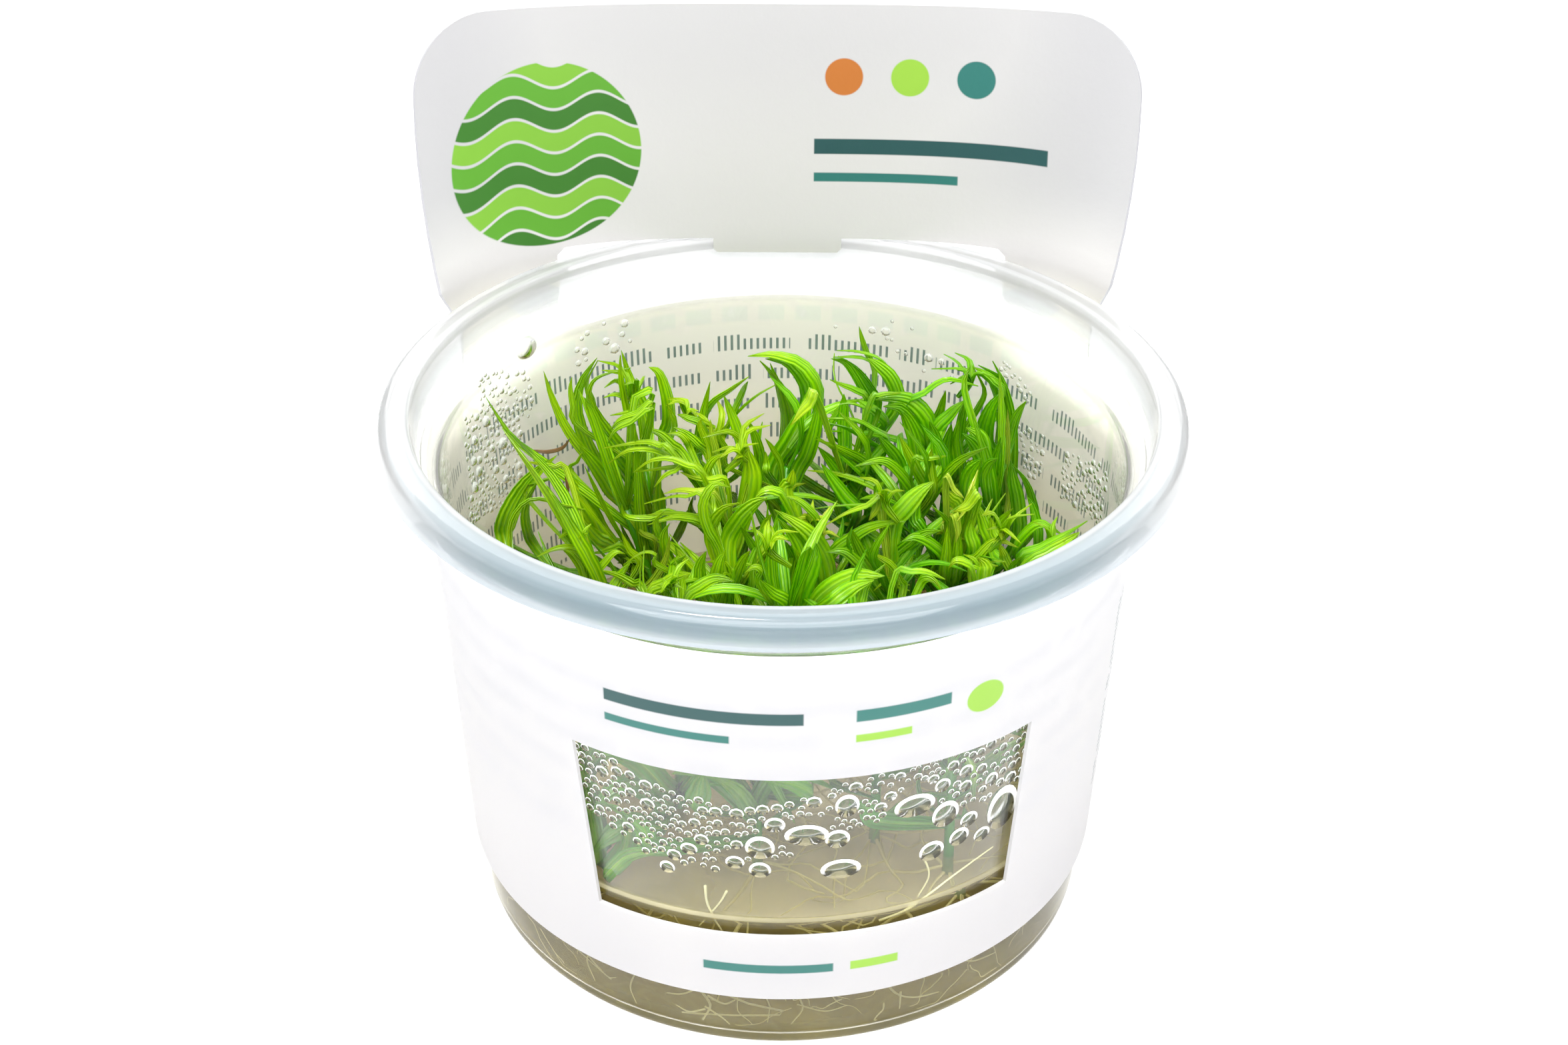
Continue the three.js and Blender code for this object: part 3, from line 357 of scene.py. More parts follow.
    (24, 2.6, 0.02, -35.4, -34.2, (-14.8, 27.8, -16.7, 30.2, -18.8, 32)),
    (24, 3.2, 0.02, -34.4, -36.3, (-10, 32.6, -9.8, 36.5, -9.3, 40.3)),
    (24, 2.2, 0.35, -35.2, -37.8, (-3.4, 33.3, -5.1, 37.5, -7.6, 40.6)),
    (24, 2.2, 0.25, -35.3, -37.4, (3.5, 36, 1.4, 38.7, -1.8, 39.9)),
    (25, 2.4, 0.02, -34.5, -35.7, (11.9, 31.5, 10.3, 34, 8.8, 35.3)),
    (16, 3.2, 0.1, -27, -33, (-14, 30, -17, 36, -19.5, 39, -21.5, 40)),
    (16, 3.0, 0.1, -26, -33, (-14, 27, -17.5, 32, -20.5, 33, -23, 31)),
    (15, 2.8, 0.15, -24, -29, (-25, 30, -22, 36, -19, 40, -16, 42)),
    (16, 2.8, 0.0, -25, -33, (-12, 29, -9, 35, -6, 39, -3, 40.5)),
    (24, 2.6, 0.1, -31, -35, (-4, 30, -7, 35.5, -10, 38.5, -13, 39)),
    (24, 2.4, 0.05, -31, -34, (-3, 32, -1, 37, 2, 40, 5, 41)),
    (16, 3.2, 0.2, -28, -34, (-15, 25, -18, 27.5, -21, 27, -23.5, 25)),
]

# How many of the plain leaves each shoot keeps, where it has fewer than the others
FEWER_LEAVES = {1: 8, 2: 9, 3: 6, 5: 12, 6: 8, 7: 6, 8: 7, 9: 6, 10: 8, 11: 8, 12: 12, 13: 6, 14: 6, 15: 7}

# Clusters of small young leaves: shoot, then x, y and z of the cluster, leaf length, how many leaves, tint
TIP_CLUSTERS = [
    (22, 4.9, 2.5, 49.1, 3.6, 9, 1.25), (20, 22.8, 0, 54.3, 4.6, 10, 1.2), (17, -1.6, -12.2, 56.9, 3.2, 8, 0.9),
    (11, -9.3, 24.3, 51.9, 4.2, 8, 1), (12, -5.6, 8.7, 58.4, 3.6, 8, 0.95), (23, 13.2, -2, 57.4, 3.4, 7, 0.9),
    (21, 25.2, -9.5, 52.2, 3.6, 7, 0.8), (9, -20.4, 20.8, 60.3, 3.8, 7, 0.5), (5, 25.3, 23, 61.9, 4.2, 7, 0.4),
    (16, -13.9, -16.3, 54, 3.6, 8, 0.55), (22, 3.7, 2.7, 51.3, 3.2, 7, 1), (23, 14.5, -3.9, 45.9, 3.6, 8, 0.75),
    (10, -21, 9.7, 40, 4, 8, 0.6), (12, -8.4, 7.3, 49.5, 3.2, 7, 0.9), (21, 27.6, -8.7, 57.4, 3.6, 7, 0.9),
    (20, 21.7, -0.2, 49.9, 3.4, 7, 0.95), (8, 34.6, -4.6, 52.9, 3.6, 8, 0.7), (11, -13.3, 24.2, 55.8, 3.6, 7, 0.9),
    (2, 10.6, 15.7, 40.6, 3.2, 7, 0.85), (18, -6.3, -5.2, 47.7, 3.4, 8, 0.6), (20, 19.8, -0.3, 44.7, 3.4, 8, 0.8),
    (1, 0.5, 20, 44.4, 3, 7, 0.95), (13, -26.3, -1, 51, 3.4, 6, 0.6), (2, 7.7, 16.8, 48.5, 3, 6, 0.8),
]

# Roots that run along the wall: radius, then angle from the front and height at points along it
WALL_ROOTS = [
    (0.22, (17.0, 19.5, 23.7, 20.6, 31.2, 23.3, 39.5, 25.0)), (0.16, (24.1, 29.1, 26.0, 24.9, 24.1, 21.6)),
    (0.20, (-12.8, 25.7, -12.4, 22.4, -9.8, 18.4)), (0.16, (-9.1, 25.3, -10.5, 23.0, -14.0, 19.0)),
    (0.26, (-13.0, 12.0, -14.5, 8.5, -12.5, 5.5, -14.0, 2.5)), (0.20, (-14.0, 8.5, -17.5, 6.5, -20.7, 5.9)),
    (0.20, (-13.0, 7.0, -10.0, 6.0, -8.0, 6.9)), (0.16, (-13.5, 5.0, -10.5, 3.5, -9.0, 2.4)),
    (0.18, (-13.5, 4.5, -16.5, 3.5, -19.0, 4.2)), (0.18, (-36.0, 9.0, -37.5, 6.0, -36.0, 3.0)),
    (0.14, (-37.0, 7.0, -33.0, 5.0, -31.0, 5.5)), (0.22, (18.0, 10.0, 21.0, 6.0, 25.0, 4.2, 30.0, 3.6)),
    (0.16, (22.0, 6.0, 22.0, 3.0)), (0.18, (33.0, 9.0, 37.0, 6.5, 43.0, 5.5)),
    (0.15, (-26.0, 9.0, -28.0, 5.0, -27.0, 2.2)),
    (0.15, (2.0, 9.5, 4.0, 6.0, 2.0, 3.0)), (0.13, (3.0, 6.5, 8.0, 5.0, 12.0, 5.6)),
]

# Large water drops behind the window: angle from the front, height, width and height of the drop
WINDOW_DROPS = [
    (4.1, 35.3, 6.0, 3.4), (9.1, 34.4, 3.4, 3.0), (9.8, 29.5, 5.6, 3.2), (10.5, 39.5, 3.3, 3.6),
    (21.9, 37.6, 6.0, 3.6), (27.7, 34.8, 4.2, 4.2), (32.5, 32.5, 2.9, 2.4), (30.8, 30.2, 3.2, 2.9),
    (25.6, 29.4, 3.8, 3.2), (35.6, 29.0, 2.8, 2.3), (39.8, 31.8, 5.6, 7.0), (-3.4, 33.3, 4.0, 3.8),
    (-3.4, 29.7, 3.0, 2.6), (-7.5, 30.7, 2.6, 2.1), (-19.0, 28.2, 2.2, 2.0), (-1.0, 37.0, 2.8, 2.4),
    (26.7, 39.6, 2.4, 2.2), (31.0, 40.6, 2.2, 2.0), (-15.1, 31.9, 2.4, 1.9), (36.5, 37.5, 2.2, 2.2),
    (-126.1, 64.0, 4.6, 3.4),
]

# Areas of small drops: angle range, lowest and highest height at each end of it, how many, radius range
DROP_AREAS = [
    ((-36, -24), (35, 44.5), (30.5, 42), 85, (0.4, 0.95)),
    ((-24, -10), (30.0, 42), (29.0, 39.5), 130, (0.4, 1.0)),
    ((-10, 8), (29.5, 39.5), (33, 41.5), 80, (0.4, 1.05)),
    ((8, 26), (35, 43), (38, 44), 60, (0.35, 0.9)),
    ((26, 47), (36, 44.5), (33, 44.5), 80, (0.4, 1.0)),
    ((-126, -111), (53, 61), (58, 65), 60, (0.3, 0.6)),
    ((-122, -103), (45, 57), (51, 62), 110, (0.35, 1.0)),
    ((-118, -101), (43, 47), (46, 51), 60, (0.3, 0.6)),
    ((98, 116), (48, 57), (45, 52), 90, (0.28, 0.6)),
    ((122, 132), (45, 52), (44, 51), 36, (0.3, 0.55)),
    ((127, 136), (55, 57), (58, 60), 16, (0.28, 0.5)),
    ((-150, -138), (58, 63), (58, 63), 12, (0.35, 0.9)),
    ((140, 180), (53, 61), (56, 62), 14, (0.3, 0.8)),
    ((-88, 88), (46, 60), (46, 60), 140, (0.3, 0.9)),
]


def lerp(a, b, t):
    return a + (b - a) * t


def clamp(value, low=0.0, high=1.0):
    return max(low, min(high, value))


def smoothstep(value, low, high):
    t = clamp((value - low) / (high - low))
    return t * t * (3 - 2 * t)


def scatter(a, b):
    """A repeatable number from 0 to 1 for each pair of numbers."""
    value = math.sin(a * 12.9898 + b * 78.233) * 43758.5453
    return value - math.floor(value)


def outer_wall(z):
    return BASE_RADIUS + WALL_SLOPE * z


def inner_wall(z):
    return outer_wall(z) - WALL


# Properties


def length(name, description, default):
    return FloatProperty(
        name=name, description=description, default=default, min=0.0, unit="LENGTH", subtype="DISTANCE"
    )


def power(name, description, default):
    return FloatProperty(name=name, description=description, default=default, unit="POWER")


def colour(name, description, default):
    return FloatVectorProperty(
        name=name, description=description, default=default, size=3, min=0.0, max=1.0, subtype="COLOR"
    )


def share(name, description, default):
    return FloatProperty(name=name, description=description, default=default, min=0.0, max=1.0, subtype="FACTOR")


class CupSettings(bpy.types.PropertyGroup):
    """Sizes and finish of the clear plastic cup."""

    rim_radius: length("Rim radius", "Radius of the rim's skirt", CUP_HIGH.x)
    height: length("Height", "Height of the rim above the base", CUP_HIGH.z)
    tint: colour("Tint", "Colour of the plastic", (0.985, 0.988, 0.985))
    milk: share("Milkiness", "How far the rim's plastic scatters light", 0.62)
    # A film of condensation behind the window that also paints a pale veil of reflected light.
    mist_and_reflection: share("Mist", "How dense the film of mist behind the window is", 0.028)
    steps: IntProperty(name="Steps", description="Faces round the cup", default=144, min=24, max=256)


class GelSettings(bpy.types.PropertyGroup):
    """Sizes and colour of the culture gel."""

    top: length("Top", "Height of the gel's surface", GEL_TOP * MM)
    tint: colour("Tint", "Colour that light takes on in the gel", (0.70, 0.58, 0.10))
    density: FloatProperty(name="Density", description="How fast the gel colours light", default=46.0, min=0.0)
    haze: share("Haze", "How far the gel scatters light", 0.3)


class CardSettings(bpy.types.PropertyGroup):
    """Sizes and print colours of the card sleeve and its header."""

    thickness: length("Thickness", "Thickness of the card", CARD * MM)
    white: colour("Card", "Colour of the coated card", (0.73, 0.722, 0.757))
    header: colour("Header", "Colour of the header's face", (0.68, 0.663, 0.642))
    cream: colour("Inside", "Colour of the card's uncoated side", (0.80, 0.775, 0.665))
    dark: colour("Dark ink", "Dark print", (0.012, 0.075, 0.075))
    teal: colour("Teal ink", "Teal print", (0.02, 0.17, 0.145))
    lime: colour("Lime ink", "Lime print", (0.30, 0.56, 0.045))
    rust: colour("Rust ink", "Orange-brown print", (0.52, 0.16, 0.02))


class PlantSettings(bpy.types.PropertyGroup):
    """Leaves of the stem plants."""

    leaves: IntProperty(name="Leaves", description="Plain leaves on a full shoot", default=30, min=6, max=60)
    thickness: length("Leaf thickness", "Thickness of a leaf at its middle", 0.00032)
    deep: colour("Shaded green", "Colour of the older leaf bases", (0.05, 0.36, 0.001))
    fresh: colour("Fresh green", "Colour of the middle of a leaf", (0.37, 0.97, 0.001))
    young: colour("Young tips", "Colour of the youngest tips", (0.80, 0.98, 0.010))
    roots: IntProperty(name="Roots", description="Roots on each shoot", default=6, min=0, max=20)
    wall_roots: IntProperty(name="Fine roots", description="Fine roots along the wall", default=60, min=0, max=200)


class WaterSettings(bpy.types.PropertyGroup):
    """Condensation on the inside of the cup."""

    spread: share("Coverage", "Share of the small drops that are made", 1.0)


class StageSettings(bpy.types.PropertyGroup):
    """Floor, light and camera."""

    floor: colour("Floor", "Colour of the floor", (0.95, 0.95, 0.95))
    key: power("Front light", "Power of the light above the camera", 5.1)
    back: power("Back light", "Power of the light behind", 2.4)
    side: power("Side light", "Power of each side light", 0.6)
    crown: power("Small light", "Power of the small light overhead", 1.0)
    low: power("Low light", "Power of the low light in front", 0.6)
    sky: FloatProperty(name="Room light", description="Strength of the light from all round", default=0.5, min=0.0)


SETTINGS = {
    "culture_cup": CupSettings,
    "culture_gel": GelSettings,
    "culture_card": CardSettings,
    "culture_plant": PlantSettings,
    "culture_water": WaterSettings,
    "culture_stage": StageSettings,
}


# Shader maths


def wire_math(operation, swapped=False):
    """A method that adds one Math node, with the wire as its last value if swapped."""

    def method(self, *others):
        values = [*others, self] if swapped else [self, *others]
        return self.shader.node("ShaderNodeMath", {"operation": operation}, values)

    return method


class Wire:
    """A shader socket that Python arithmetic works on, by adding Math nodes."""

    def __init__(self, shader, socket):
        self.shader = shader
        self.socket = socket

    __add__ = __radd__ = wire_math("ADD")
    __sub__ = wire_math("SUBTRACT")
    __rsub__ = wire_math("SUBTRACT", swapped=True)
    __mul__ = __rmul__ = wire_math("MULTIPLY")
    __truediv__ = wire_math("DIVIDE")
    __pow__ = wire_math("POWER")
    __gt__ = wire_math("GREATER_THAN")
    __abs__ = wire_math("ABSOLUTE")
    frac = wire_math("FRACT")
    floor = wire_math("FLOOR")
    sin = wire_math("SINE")
    sqrt = wire_math("SQRT")
    least = wire_math("MINIMUM")
    most = wire_math("MAXIMUM")

    def ramp(self, low, high, start=0.0, end=1.0):
        """Runs smoothly from start to end as the value goes from low to high."""
        settings = {"interpolation_type": "SMOOTHSTEP", "clamp": True}
        return self.shader.node("ShaderNodeMapRange", settings, [self, low, high, start, end])


def from_axis(x, y):
    """Distance from the axis where x and y are 0."""
    return (x * x + y * y).sqrt()


class Shader:
    """The node tree of one material."""

    def __init__(self, name):
        self.material = bpy.data.materials.new(name)
        self.material.use_nodes = True
        self.tree = self.material.node_tree
        self.tree.nodes.clear()
        self.output = self.tree.nodes.new("ShaderNodeOutputMaterial")

    def node(self, kind, settings=None, values=(), out=0):
        """Adds a node: its settings first, then a value or a link for each socket."""
        node = self.tree.nodes.new(kind)
        for key, value in (settings or {}).items():
            setattr(node, key, value)
        pairs = values.items() if isinstance(values, dict) else enumerate(values)
        for key, value in pairs:
            if isinstance(value, Wire):
                self.tree.links.new(value.socket, node.inputs[key])
            else:
                node.inputs[key].default_value = value
        return Wire(self, node.outputs[out])

    def mix(self, factor, a, b):
        """Colour a where factor is 0 and b where it is 1."""
        a, b = (c if isinstance(c, Wire) else (*c, 1.0) for c in (a, b))
        return self.node("ShaderNodeMix", {"data_type": "RGBA"}, {0: factor, 6: a, 7: b}, 2)

    def place(self):
        """The object's own coordinates in millimetres, as x, y and z."""
        coords = self.node("ShaderNodeTexCoord", out=3)
        scaled = self.node("ShaderNodeVectorMath", {"operation": "SCALE"}, {0: coords, 3: 1 / MM})
        return [self.node("ShaderNodeSeparateXYZ", values=[scaled], out=k) for k in range(3)]

    def uv(self):
        chart = self.node("ShaderNodeUVMap", {"uv_map": "UVMap"})
        return [self.node("ShaderNodeSeparateXYZ", values=[chart], out=k) for k in range(2)]

    def attribute(self, name):
        return self.node("ShaderNodeAttribute", {"attribute_name": name}, out=2)

    def noise(self, scale, detail=2.0, stretch=(1, 1, 1)):
        """Cloudy noise on the object's own coordinates; scale is in features a metre."""
        coords = self.node("ShaderNodeTexCoord", out=3)
        moved = self.node("ShaderNodeMapping", {}, {0: coords, 3: stretch})
        return self.node("ShaderNodeTexNoise", {}, {"Vector": moved, "Scale": scale, "Detail": detail})

    def bump(self, height, distance, strength=1.0):
        return self.node("ShaderNodeBump", {}, {"Strength": strength, "Distance": distance, "Height": height})

    def principled(self, **values):
        named = {key.replace("_", " ").title().replace("Ior", "IOR"): value for key, value in values.items()}
        if not isinstance(named["Base Color"], Wire):
            named["Base Color"] = (*named["Base Color"], 1.0)
        return self.node("ShaderNodeBsdfPrincipled", {}, named)

    def see_through(self, shade, roughness, ior, **more):
        """Clear matter that bends light."""
        return self.principled(base_color=shade, roughness=roughness, transmission_weight=1.0, ior=ior, **more)

    def glow(self, shade):
        """Light that comes through a thin part, in one colour."""
        return self.node("ShaderNodeBsdfTranslucent", {}, {"Color": (*shade, 1.0)})

    def blend(self, factor, a, b):
        """Shader a where factor is 0 and b where it is 1."""
        return self.node("ShaderNodeMixShader", {}, [factor, a, b])

    def finish(self, surface, volume=None):
        self.tree.links.new(surface.socket, self.output.inputs["Surface"])
        if volume is not None:
            self.tree.links.new(volume.socket, self.output.inputs["Volume"])
        return self.material


def cup_material(settings):
    """Clear plastic that turns milky in the thick rim, with painted reflections and highlights on the rim, and a
    film behind the window that is condensation and also a painted veil of reflected light.
    """
    s = Shader("clear_plastic")
    x, y, z = s.place()
    rim = z.ramp(64.9, 68.4)
    cloud = s.noise(70.0, 2.0)
    ripples = s.bump(s.noise(160.0, 2.0, (1, 1, 0.4)), 0.0002, 0.06)
    clear = s.see_through(settings.tint, 0.015 + 0.03 * cloud, PLASTIC_IOR, normal=ripples)
    # Painted reflection and shade: the milky rim is darker blue-grey at the front than at the back and sides.
    painted_rim_bands = s.mix(y.ramp(-16.0, -44.0), (0.49, 0.49, 0.485), (0.25, 0.32, 0.353))
    # Painted highlight: the lower lip of the rim's skirt is paler.
    painted_rim_bands = s.mix(z.ramp(69.3, 68.4), painted_rim_bands, (0.66, 0.69, 0.71))
    # Painted reflection: the rim's top face is blue-grey at the front.
    painted_rim_bands = s.mix(z.ramp(70.7, 71.1) * y.ramp(5.0, -30.0), painted_rim_bands, (0.43, 0.49, 0.515))
    # Painted highlight: a pale band along the rim's inner top edge.
    inner_lip_highlight = from_axis(x, y).ramp(47.7, 47.2) * z.ramp(70.3, 70.8)
    painted_rim_bands = s.mix(inner_lip_highlight, painted_rim_bands, (0.72, 0.73, 0.74))
    shade = s.mix(rim, (0.74, 0.73, 0.68), painted_rim_bands)
    milky = s.principled(base_color=shade, roughness=0.1)
    # The light through the rim is painted darker at the front as well, except on the inner lip's highlight.
    glow = s.blend(y.ramp(-16.0, -44.0) * (1 - inner_lip_highlight), s.glow((0.53, 0.53, 0.52)), s.glow((0.25, 0.32, 0.36)))
    soft = s.blend(0.45, milky, glow)
    window = bar(x, z, -18.6, 25.4, 21.3, 46.0, 0.2) * y.ramp(-20.0, -22.0)
    ledge = z.ramp(62.2, 62.9) * z.ramp(66.0, 65.0)
    # The rim is milkier at the front than at the back, as part of the painted front-to-back shading.
    milk = settings.milk * (0.012 + 0.988 * rim) * y.ramp(15.0, -35.0, 0.8, 1.0)
    # Painted reflection: the film behind the window, denser towards its top, is condensation and also the pale
    # veil of reflected light seen there.
    mist_and_reflection = settings.mist_and_reflection * window * (0.4 + 1.5 * z.ramp(33.0, 43.0))
    amount = ledge * 0.3 + (milk + mist_and_reflection) * (0.85 + 0.3 * cloud)
    return s.finish(s.blend(amount, clear, soft))


def gel_material(settings):
    """Clear olive-brown gel with a slight haze, and a painted shadow of the plants on its top at the front left.
    """
    s = Shader("culture_gel")
    waves = s.noise(60.0, 3.0)
    surface = s.see_through((1.0, 1.0, 1.0), 0.02, GEL_IOR, normal=s.bump(waves, 0.0006, 0.5))
    cloud = s.noise(110.0, 4.0, (1, 1, 1.6))
    murk = s.mix(cloud.ramp(0.3, 0.7), (0.27, 0.21, 0.02), (0.41, 0.34, 0.05))
    x, y, z = s.place()
    # Painted shadow: the gel's top is darker and hazier at the front left, where the plants shade it.
    painted_plant_shadow = z.ramp(20.0, 20.5) * x.ramp(4.0, -16.0) * y.ramp(-4.0, -20.0)
    murk = s.mix(painted_plant_shadow * 0.8, murk, (0.10, 0.09, 0.015))
    contact = z.ramp(20.95, 21.25) * (from_axis(x, y) > 39.8)
    murk = s.mix(contact, murk, (0.74, 0.68, 0.42))
    dull = s.principled(base_color=murk, roughness=0.5, specular_ior_level=0.1)
    haze = s.blend(0.5, dull, s.glow((0.46, 0.38, 0.055)))
    tint = (*settings.tint, 1.0)
    volume = s.node("ShaderNodeVolumeAbsorption", {}, {"Color": tint, "Density": settings.density})
    share_hazy = settings.haze * (0.7 + 0.6 * cloud) + contact * 0.35 + painted_plant_shadow * 0.4
    return s.finish(s.blend(share_hazy, surface, haze), volume)


def water_material():
    """Clear drops with painted light: behind the window a glowing white highlight on the upper edge and a painted
    dark centre; elsewhere a painted dark edge and a faint highlight.
    """
    s = Shader("water_drop")
    across, up = s.uv()
    base = across > BASE_CHART_SHIFT - 0.5
    x, y = (across - base * BASE_CHART_SHIFT) * 2 - 1, up * 2 - 1
    far = from_axis(x, y)
    behind_window = s.place()[1].ramp(-18.0, -24.0)
    # Painted highlight: a white crescent on the upper edge, on the flat base of the drops behind the window and
    # faintly on the domes of the others.
    crescent = (x * x + (y + 0.14) ** 2).sqrt().ramp(0.76, 0.84) * y.ramp(-0.55, -0.1)
    painted_highlight = crescent * base * behind_window + crescent * (1 - base) * (1 - behind_window) * 0.2
    # Painted shade: a dark edge on the drops away from the window, and a dark centre on those behind it.
    edge = far.ramp(0.6, 0.95) * 0.35 * (1 - base) * (1 - behind_window)
    dark = edge.most(far.ramp(0.8, 0.6) * 0.3 * base * behind_window)
    clear = s.see_through((1.0, 1.0, 1.0), 0.0, WATER_IOR)
    # The painted highlight's white glows, though it is no lamp.
    white = s.principled(
        base_color=(0.97, 0.98, 0.97), roughness=0.3, emission_color=(1.0, 1.0, 1.0, 1.0), emission_strength=1.0,
    )
    light = s.blend(0.25, white, s.glow((0.97, 0.98, 0.97)))
    shadow = s.principled(base_color=(0.07, 0.12, 0.03), roughness=0.3)
    return s.finish(s.blend(painted_highlight, s.blend(dark, clear, shadow), light))


def bar(x, z, left, right, low, high, soft=0.12):
    """1 inside an upright rectangle, with edges that are slightly soft."""
    across = x.ramp(left - soft, left + soft) * x.ramp(right + soft, right - soft)
    along = z.ramp(low - soft, low + soft) * z.ramp(high + soft, high - soft)
    return across * along


def disc(x, z, centre, radius, soft=0.12):
    far = ((x - centre[0]) ** 2 + (z - centre[1]) ** 2).sqrt()
    return far.ramp(radius + soft, radius - soft)


def dashes(u, z, pitch, half, step, seed):
    """Rows of thin upright ticks in groups of uneven length."""
    row = (z / pitch).floor()
    level = (z / pitch).frac() - 0.5
    across = u + row * 7.3 + seed
    tick = (across / step).floor()
    tall = (tick * 12.99 + row * 4.1).sin()
    inside = abs(level).ramp(half + 0.02, half - 0.02)
    reach = abs(level - half * 0.4).ramp(half * 1.4 + 0.02, half * 1.4 - 0.02) * (tall > 0.7)
    place = (across / step).frac()
    stroke = place.ramp(0.26, 0.34) * place.ramp(0.74, 0.66)
    groups = (across / 13.7).frac().ramp(0.10, 0.12) * (across / 20.3).frac().ramp(0.07, 0.09)
    return inside.most(reach) * stroke * groups


def lit_through(s, front, printed, z):
    """Lets part of the light through the card where it isn't printed, and little through the header."""
    share_through = z.ramp(60.0, 72.0, 0.28, 0.04) * (1 - printed * 0.85)
    return s.blend(share_through, front, s.glow((0.97, 0.96, 0.90)))


def print_marks(s, paper, printed, marks, where):
    """Prints marks, each a mask and its ink, on one part of the card. Returns the colour and what is printed."""
    for mask, ink in marks:
        paper = s.mix(mask * where, paper, ink)
        printed = printed.most(mask * where)
    return paper, printed


def card_base(name):
    """What both sides of the card share: fine dimples and a faint cloud."""
    s = Shader(name)
    dimples = s.noise(1100.0, 2.0)
    cloud = s.noise(25.0, 2.0)
    return s, s.bump(dimples, 0.00005, 0.5), cloud


def card_outer_material(settings):
    """Coated white card with plain printed bars round the window, with painted shade that darkens its back and the
    header's back most.
    """
    s, dimples, cloud = card_base("card_outside")
    x, y, z = s.place()
    front = y.ramp(1.0, -1.0)
    # Painted shade: the card's back is darker than its front, and the header's back darker still.
    facing = y.ramp(40.0, -20.0)
    white = s.mix(facing, (0.60, 0.595, 0.62), settings.white)
    white = s.mix(z.ramp(62.0, 72.0) * y.ramp(5.0, 25.0), white, (0.50, 0.496, 0.515))
    ink = s.mix(cloud * 0.25 * facing, white, (0.71, 0.70, 0.745))
    marks = [
        (bar(x, z, -20.5, 2.5, 53.2, 54.9), settings.dark),
        (bar(x, z, -20.5, -6.0, 50.2, 51.3), settings.teal),
        (bar(x, z, 8.5, 19.5, 53.2, 54.9), settings.teal),
        (bar(x, z, 8.5, 15.0, 50.2, 51.3), settings.lime),
        (disc(x, z, (23.6, 52.6), 2.2), settings.lime),
        (bar(x, z, -9.5, 6.5, 13.6, 15.0), settings.teal),
        (bar(x, z, 8.6, 14.5, 13.6, 15.0), settings.lime),
    ]
    u, v = s.uv()
    side = bar(u, v, 70.0, 84.0, 20.0, 50.0, 0.3)
    printed = side * dashes(v, u, 2.4, 0.24, 0.8, 1.7) * 0.8
    ink = s.mix(printed, ink, settings.dark)
    ink, printed = print_marks(s, ink, printed, marks, front)
    front_side = s.principled(base_color=ink, roughness=0.42 + 0.1 * cloud, normal=dimples)
    return s.finish(lit_through(s, front_side, printed, z))


def card_inner_material(settings):
    """The side of the card that faces the plants: printed rows in the sleeve and marks on the header, whose face
    has painted shade towards its sides and top.
    """
    s, dimples, cloud = card_base("card_inside")
    x, _, z = s.place()
    u, v = s.uv()
    header = z.ramp(62.0, 72.0)
    # Painted shade: the header's face is darker towards its sides and its top.
    outer = abs(x - HEADER_CENTRE).ramp(14.0, 46.0) * z.ramp(70.0, 84.0)
    header_with_painted_shade = s.mix(outer.most(z.ramp(80.0, 103.0) * 0.6), settings.header, (0.515, 0.507, 0.515))
    lined = s.mix(z.ramp(56.0, 34.0), settings.cream, (0.80, 0.74, 0.48))
    paper = s.mix(header, lined, header_with_painted_shade)
    paper = s.mix(cloud * 0.2, paper, (0.74, 0.73, 0.75))
    rows = dashes(u, v, 4.8, 0.18, 0.95, 0.0) * v.ramp(27.0, 27.5) * v.ramp(58.3, 57.9)
    ghost = bar(u, v, -52.0, 56.0, 58.9, 61.2, 0.3) * (u / 5.3).frac().ramp(0.25, 0.35)
    paper = s.mix(ghost * 0.25 * (1 - header), paper, (0.45, 0.62, 0.52))
    ink = s.mix(rows * 0.85, paper, settings.dark)
    marks = [
        (bar(x, z, 4.0, 36.0, 84.0, 86.2), settings.dark),
        (bar(x, z, 4.0, 24.0, 80.0, 81.3), settings.teal),
    ]
    wave = z + 1.1 * (x * 0.55).sin()
    for index in range(9):
        low = 71.3 + 3.0 * index
        shade = ((0.035, 0.17, 0.012), (0.10, 0.34, 0.02), (0.20, 0.46, 0.035))[index % 3]
        band = bar(x, wave, -50.0, -10.0, low, low + 2.6)
        marks.append((band * disc(x, z, (-32.5, 85.0), 12.6), shade))
    for index, shade in enumerate((settings.rust, settings.lime, settings.teal)):
        marks.append((disc(x, z, (8.0 + 9.0 * index, 95.0), 2.6), shade))
    ink, printed = print_marks(s, ink, rows, marks, header)
    near_side = s.principled(base_color=ink, roughness=0.45 + 0.1 * cloud, normal=dimples)
    return s.finish(lit_through(s, near_side, printed, z))


